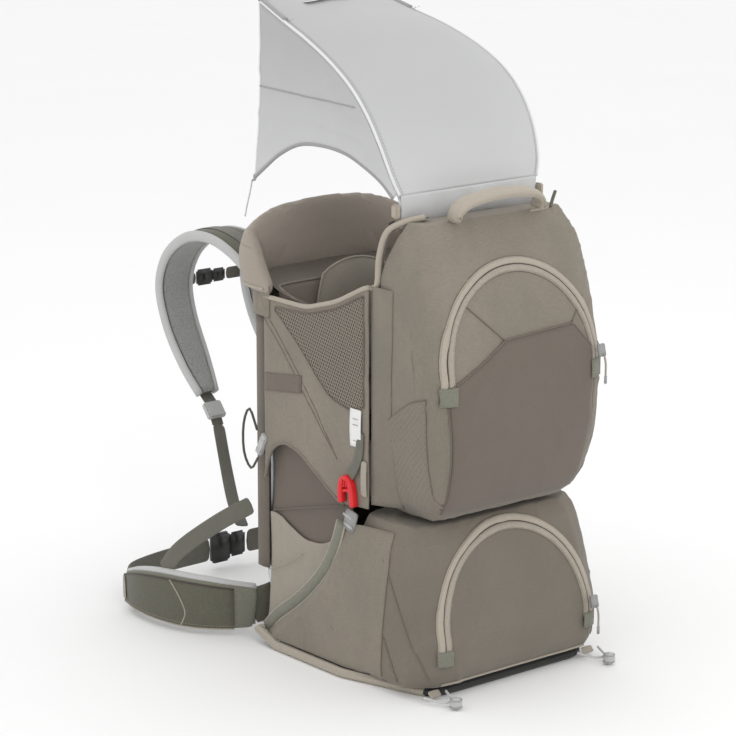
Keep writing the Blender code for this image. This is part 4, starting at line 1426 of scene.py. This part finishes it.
def shade_drop(tag, side, seam, halves, body):
    """One side of the sunshade, hanging from the crown's edge, with its hems, seam and guy tab."""
    hem = smooth_path([(0, y, z) for y, z in HOOD_HEM], 8)
    grid = []
    for i, (p, q, half) in enumerate(zip(seam, hem, halves)):
        share_back = i / (len(seam) - 1)
        row = []
        for s in spread(0, 1, 24):
            x = half + 0.0020 + (0.124 - half) * s * 0.8
            belly = -0.0050 * sin(pi * s) * sin(pi * min(1.0, share_back * 1.3))
            point = Vector((0, p.y + (q.y - p.y) * s, p.z + 0.002 + (q.z - p.z - 0.002) * s))
            hollow = -0.0060 * sin(pi * s) * max(0.0, 1 - share_back * 6)
            ripple = 0.0022 * folds(point, 11.0, (1, 0.5, 1.6), 8.0) * sin(pi * s)
            row.append(Vector((side * (x + belly + ripple), point.y + hollow, point.z)))
        grid.append(row)
    drop = grid_piece(f"shade_drop_{tag}", grid, "hood", body, [f"hood_drop_{tag}"], thick=0.0009)
    rod_piece(f"drop_binding_{tag}", [row[-1] for row in grid], 0.0024, "hood_bind", body)
    rod_piece(f"drop_front_hem_{tag}", grid[0], 0.0013, "hood_edge", body)
    cross = []
    for row, p in zip(grid, seam):
        if p.z > 0.778:
            s = (p.z - 0.772) / max(0.001, row[0].z - row[-1].z)
            if s < 0.92:
                cross.append(at_share(row, s) + Vector((side * 0.0008, 0, 0)))
    rod_piece(f"drop_seam_{tag}", cross, 0.0009, "hood_bind", body)
    corner = grid[0][-1]
    tab = [corner + Vector((0, 0, 0.004)), corner + Vector((side * 0.001, 0.001, -0.003)),
           (side * 0.124, 0.250, 0.644)]
    band_piece(f"guy_tab_{tag}", smooth_path(tab, 4), (0, 1, 0), 0.008, 0.0014, "hood_bind", body)
    dress(f"hood_pole_{tag}", "alloy")


def sunshade():
    body = "sunshade"
    seam = smooth_path([(0, y, z) for y, z in HOOD_SEAM], 8)
    shapes = smooth_path([(half, crown, 0) for half, crown in zip(HOOD_HALF, HOOD_CROWN)], 8)
    halves = [shape.x for shape in shapes]
    ups = [along.cross(Vector((1, 0, 0))).normalized() for along in tangents(seam)]
    rows = []
    for i, (p, up, shape) in enumerate(zip(seam, ups, shapes)):
        row = []
        for s in spread(-1, 1, 32):
            soft = 0.0020 * noise.noise(Vector((s * 2.5, i * 0.07, 1.0)))
            row.append(p + Vector((shape.x * s, 0, 0)) + up * (0.0045 + (shape.y + soft) * (1 - s * s)))
        rows.append(row)
    crown = grid_piece("shade_crown", rows, "hood", body, ["hood_crown"], thick=0.0009)
    front = [p + Vector((0, 0.0010, 0.0004)) for p in rows[0]]
    rod_piece("crown_front_hem", front, 0.0020, "hood_edge", body)
    crown_fall(rows[-1], body)
    for tag, side in SIDES:
        crown_edge(tag, side, seam, ups, halves, body)
        shade_drop(tag, side, seam, halves, body)

    # Strap tab that lies on the front of the crown
    tab = [at_share(rows[4], 0.5 + x / 0.2) + Vector((0, 0, 0.0022)) for x in spread(-0.052, 0.020, 10)]
    band_piece("crown_tab", tab, (0, 1, -0.2), 0.014, 0.0018, "hood_edge", body)
    slot = [q + Vector((0, 0, 0.0012)) for q in tab[1:-1]]
    band_piece("crown_tab_slot", slot, (0, 1, -0.2), 0.005, 0.0012, "hood_bind", body)


def handle():
    body = "handle"

    def wide(share):
        return 0.023 + 0.004 * sin(pi * share)

    def thick(share):
        return 0.007 + 0.003 * sin(pi * share)

    half = [(-0.074, -0.118, 0.6360), (-0.072, -0.121, 0.648), (-0.052, -0.125, 0.6595),
            (0.0, -0.128, 0.6650)]
    path = smooth_path(mirrored([Vector(knot) for knot in half]), 7)
    grip = band_piece("carry_grip", path, (0, 1, 0.2), wide, thick, "trim", body, ["grab_handle"],
                      crown=0.0012, columns=10)
    for k, shift in (("front", -0.0122), ("rear", 0.0122)):
        line = [p + Vector((0, shift, shift * 0.2)) for p in path[2:-2]]
        rod_piece(f"grip_piping_{k}", line, 0.0012, "pale_tape", body)
    for tag, side in SIDES:
        foot = on_side(side, (0.0740, -0.1180, 0.6440), (0.0748, -0.1190, 0.6360), (0.0700, -0.1230, 0.6325))
        band_piece(f"grip_foot_{tag}", smooth_path(foot, 4), (0, 1, 0), 0.029, 0.0030, "trim", body)


# The harness: each strap's line as (y, z), from the yoke over the shoulder and down
STRAP_LINE = (
    (0.2400, 0.452), (0.262, 0.492), (0.310, 0.524), (0.370, 0.541), (0.430, 0.534),
    (0.482, 0.500), (0.505, 0.450), (0.492, 0.395), (0.458, 0.340), (0.425, 0.296),
)


def strap_width(share):
    end = max(0.0, (share - 0.80) / 0.20)
    return (0.070 - 0.020 * share) * (1 - 0.38 * end * end)


def shoulder_strap(tag, side, body):
    """A padded strap with its mesh lining, two edge rolls, a face tape and the tape at its tip."""
    x = side * STRAP_X
    path = smooth_path([(x, y, z) for y, z in STRAP_LINE], 6)
    node = [f"shoulder_strap_{tag}"]
    made = band_piece(f"strap_core_{tag}", path, (1, 0, 0), strap_width, 0.0130, "olive", body, node,
                      columns=10)
    inward = [t.cross(Vector((1, 0, 0))).normalized() for t in tangents(path)]
    halves = [strap_width(i / (len(path) - 1)) / 2 for i in range(len(path))]
    rows = []
    for p, n, half in zip(path, inward, halves):
        row = []
        for s in spread(-1, 1, 10):
            row.append(p + Vector(((half - 0.006) * s, 0, 0)) + n * (0.0064 + 0.0022 * (1 - s**4)))
        rows.append(row)
    grid_piece(f"strap_lining_{tag}", rows, "spacer", body, thick=0.0012)
    for k, edge in (("in", -1), ("out", 1)):
        rings = []
        for p, n, half in zip(path, inward, halves):
            middle = p + Vector((edge * (half - 0.001), 0, 0)) + n * 0.0016
            rings.append(oval(middle, Vector((0.0042, 0, 0)), n * 0.0078, 12))
        loft_piece(f"strap_edge_{k}_{tag}", rings, "pad_edge", body)
    face = [p - n * 0.0072 for p, n in zip(path, inward)]
    band_piece(f"strap_face_tape_{tag}", face[4:-2], (1, 0, 0), 0.022, 0.0014, "tape", body)
    tip = [path[-3] - inward[-3] * 0.0070, path[-1] - inward[-1] * 0.0035, (x, 0.4150, 0.2840)]
    band_piece(f"strap_tip_tape_{tag}", smooth_path(tip, 4), (1, 0, 0), 0.022, 0.0020, "tape", body)


def lower_webbing(tag, side, body):
    """The tape, ladder lock and webbing from the strap's tip to the pack's side."""
    x = side * STRAP_X
    hang = [(x, 0.4120, 0.2760), (x, 0.4040, 0.2640), (side * 0.079, 0.3970, 0.2530)]
    band_piece(f"lock_tape_{tag}", smooth_path(hang, 4), (1, 0, 0), 0.020, 0.0018, "tape", body)
    lock = f"strap_ladder_lock_{tag}"
    dress(lock, "pale_grey")
    middle = box_of(lock)[0]
    size = (0.026, 0.0034, 0.0034)
    for k, shift in enumerate((-0.008, 0.0, 0.008)):
        spot = middle + Vector((0, shift * 0.64 + 0.0042, shift * 0.76 - 0.0036))
        box_piece(f"ladder_bar_{k}_{tag}", spot, size, "pale_grey", body, bevel=0.001, turn=(-0.70, 0, 0))
    knots = on_side(side, (STRAP_X, 0.3985, 0.2560), (0.100, 0.350, 0.200), (0.125, 0.300, 0.165),
                    (0.146, 0.252, 0.146))
    path = smooth_path(knots, 6)
    node = [f"strap_webbing_{tag}"]
    web = band_piece(f"lower_webbing_{tag}", path, (1, 0, 0), 0.020, 0.0016, "tape", None, node)
    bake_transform(web)


def sternum(tag, side):
    """A half strap over the chest, its buckle half and the rail it slides on."""
    body = f"sternum_{tag}"
    node = f"sternum_strap_{tag}"
    middle, (wide, deep, tall) = box_of(node)
    line = [Vector((x, middle.y, middle.z)) for x in spread(middle.x - wide / 2, middle.x + wide / 2, 8)]
    band_piece(f"{node}_web", line, (0, 0, 1), tall, deep, "tape", body, [node])
    node = f"sternum_buckle_{tag}"
    middle, (wide, deep, tall) = box_of(node)
    box_piece(f"{node}_case", middle, (wide, deep, tall), "black", body, [node], bevel=0.0030)
    rib = middle + Vector((0, deep / 2 + 0.0006, 0))
    box_piece(f"{node}_rib", rib, (wide * 0.5, 0.0016, tall * 0.4), "black", body, bevel=0.0006)
    rail = on_side(side, (0.0870, 0.5126, 0.430), (0.0870, 0.5135, 0.464))
    rod_piece(f"sternum_rail_{tag}", rail, 0.0018, "tape", "harness")


def harness():
    body = "harness"
    yoke = remeshed("yoke_cushion", "yoke_pad", 0.0045, 3)
    plump(yoke, cap=0.004)
    place(yoke, "olive", body, ["yoke_pad"])
    for tag, side in SIDES:
        shoulder_strap(tag, side, body)
        lower_webbing(tag, side, body)
        sternum(tag, side)


def back_parts():
    dress("back_frame_tube", "alloy")
    dress("back_board", "board")
    pads = (("back_cushion", "back_mesh_pad", "spacer"), ("lumbar_cushion", "lumbar_pad", "olive"))
    for name, node, look in pads:
        pad = remeshed(name, node, 0.0050, 4)
        plump(pad, cap=0.004)
        for vertex in pad.data.vertices:
            vertex.co.y = max(vertex.co.y, 0.2008)
        place(pad, look, "carrier_frame", [node])
        skin = Skin(pad)
        low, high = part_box(node)
        lines = []
        for k in (-1, 0, 1):
            x = k * (high[0] - low[0]) * 0.24
            heights = spread(low[2] + 0.012, high[2] - 0.012, 20)
            lines.append([skin.near((x, high[1], z), 0.0002) for z in heights])
        stitch_piece(f"{name}_stitches", lines, "thread", "carrier_frame")
        corners = [(low[0], low[2]), (high[0], low[2]), (high[0], high[2]), (low[0], high[2])]
        ring = []
        for (xa, za), (xb, zb) in zip(corners, corners[1:] + corners[:1]):
            edge = list(zip(spread(xa, xb, 12), spread(za, zb, 12)))[:-1]
            ring += [skin.near((x, low[1] + 0.006, z), 0.0002) for x, z in edge]
        rod_piece(f"{name}_piping", ring, 0.0018, "pad_edge", "carrier_frame", closed=True)


# The hip belt: the right wing's line, from its root forwards
WING_LINE = (
    (0.150, 0.216, 0.036), (0.195, 0.238, 0.042), (0.226, 0.276, 0.045),
    (0.240, 0.325, 0.045), (0.240, 0.374, 0.041), (0.228, 0.418, 0.033),
)


def wing_height(share):
    return 0.062 + 0.022 * sin(pi * share) - 0.014 * share


def hip_wing(tag, path, ways, body):
    """A padded wing with its outer pocket, mesh lining, top roll, seams and stitches."""

    def core(share):
        return wing_height(share) - 0.003

    up = Vector((0, 0, 1))
    wing = band_piece(f"wing_core_{tag}", path, (0, 0, 1), core, 0.0120, "olive_grey", body,
                      [f"hip_wing_{tag}"], columns=12)
    rows = []
    lining = []
    top = []
    for i, (p, n) in enumerate(zip(path, ways)):
        share = i / (len(path) - 1)
        half = wing_height(share) / 2
        if share > 0.12:
            row = []
            for j, z in enumerate(spread(-0.92 * half, 0.78 * half, 12)):
                row.append(p + n * (0.0068 + 0.0030 * sin(pi * j / 12) * sin(pi * share)) + up * z)
            rows.append(row)
        inner = enumerate(spread(-0.88 * half, 0.88 * half, 10))
        lining.append([p - n * (0.0066 + 0.0016 * sin(pi * j / 10)) + up * z for j, z in inner])
        top.append(oval(p - n * 0.003 + up * (half - 0.001), n * 0.0066, up * 0.0042, 12))
    grid_piece(f"wing_pocket_{tag}", rows, "olive", body, thick=0.0014)
    grid_piece(f"wing_lining_{tag}", lining, "spacer", body, thick=0.0016)
    # The pocket zip takes the same coil cloth, partly painted shadow at the pocket's mouth
    rod_piece(f"wing_pocket_zip_{tag}", [row[-1] for row in rows], 0.0014, "shadow", body)
    seam = smooth_path([rows[9][0], rows[8][4], rows[9][8], rows[11][12]], 6)
    rod_piece(f"wing_seam_{tag}", [p + ways[12] * 0.0008 for p in seam], 0.0010, "pale_tape", body)
    hem = [row[0] + Vector((0, 0, 0.0006)) for row in rows]
    rod_piece(f"wing_hem_{tag}", hem, 0.0013, "pale_tape", body)
    stitches = [row[1] + w * 0.0008 for row, w in zip(rows, ways[3:])]
    stitch_piece(f"wing_stitches_{tag}", [stitches], "thread", body)
    loft_piece(f"wing_top_edge_{tag}", top, "pad_edge", body)


def waist_buckle(tag, clip):
    """A half of the buckle, with a rail along its top and its foot."""
    node = f"hip_buckle_{tag}"
    middle, size = box_of(node)
    box_piece(f"waist_buckle_{tag}", middle, size, "black", clip, [node], bevel=0.0042)
    for k, lift in (("top", 0.34), ("low", -0.34)):
        spot = middle + Vector((0, size[1] / 2, size[2] * lift))
        rail = (size[0] * 0.8, 0.0022, 0.0036)
        box_piece(f"waist_buckle_rail_{k}_{tag}", spot, rail, "black", clip, bevel=0.0010)


def hip_belt():
    up = (0, 0, 1)
    for tag, side in SIDES:
        body = f"hip_{tag}"
        clip = body if tag == "left" else "hip_clip"
        path = smooth_path(on_side(side, *WING_LINE), 6)
        ways = [t.cross(Vector(up)).normalized() * side for t in tangents(path)]
        hip_wing(tag, path, ways, body)

        # Adjuster, webbing and buckle
        tip = path[-1]
        way = ways[-1]
        forward = tangents(path)[-1]
        band = [tip - forward * 0.012 + way * 0.010, tip + forward * 0.004 + way * 0.0075]
        band.append(tip + forward * 0.016 + way * 0.001)
        band_piece(f"wing_tip_tape_{tag}", smooth_path(band, 4), up, 0.034, 0.0020, "pale_tape", body)
        web = on_side(side, (0.2225, 0.4320, 0.034), (0.190, 0.462, 0.034), (0.120, 0.479, 0.034),
                      (0.034, 0.4825, 0.034))
        node = [f"hip_webbing_{tag}"]
        band_piece(f"waist_web_{tag}", smooth_path(web, 8), up, 0.036, 0.0020, "tape", clip, node)
        waist_buckle(tag, clip)

        # Lift strap from the pack's side to the wing
        knots = on_side(side, (0.1500, 0.2240, 0.186), (0.184, 0.258, 0.158), (0.220, 0.300, 0.116),
                        (0.2345, 0.320, 0.083))
        path = smooth_path(knots, 8)
        node = [f"hip_lift_strap_{tag}"]
        strap = band_piece(f"lift_strap_{tag}", path, (0, 0.5, 0.6), 0.026, 0.0026, "tape", None, node)
        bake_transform(strap)

        # The short sleeve that carries the wing's root on the frame
        knots = on_side(side, (0.108, 0.2075, 0.052), (0.130, 0.2095, 0.044), (0.156, 0.2190, 0.0375))
        path = smooth_path(knots, 6)
        root = band_piece(f"wing_root_{tag}", path, up, 0.054, 0.0050, "olive", None, crown=0.001)
        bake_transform(root)


upper_pack()
lower_pack()
base_parts()
cockpit_sides()
leg_openings()
liner()
collar()
seat()
sunshade()
handle()
harness()
back_parts()
hip_belt()
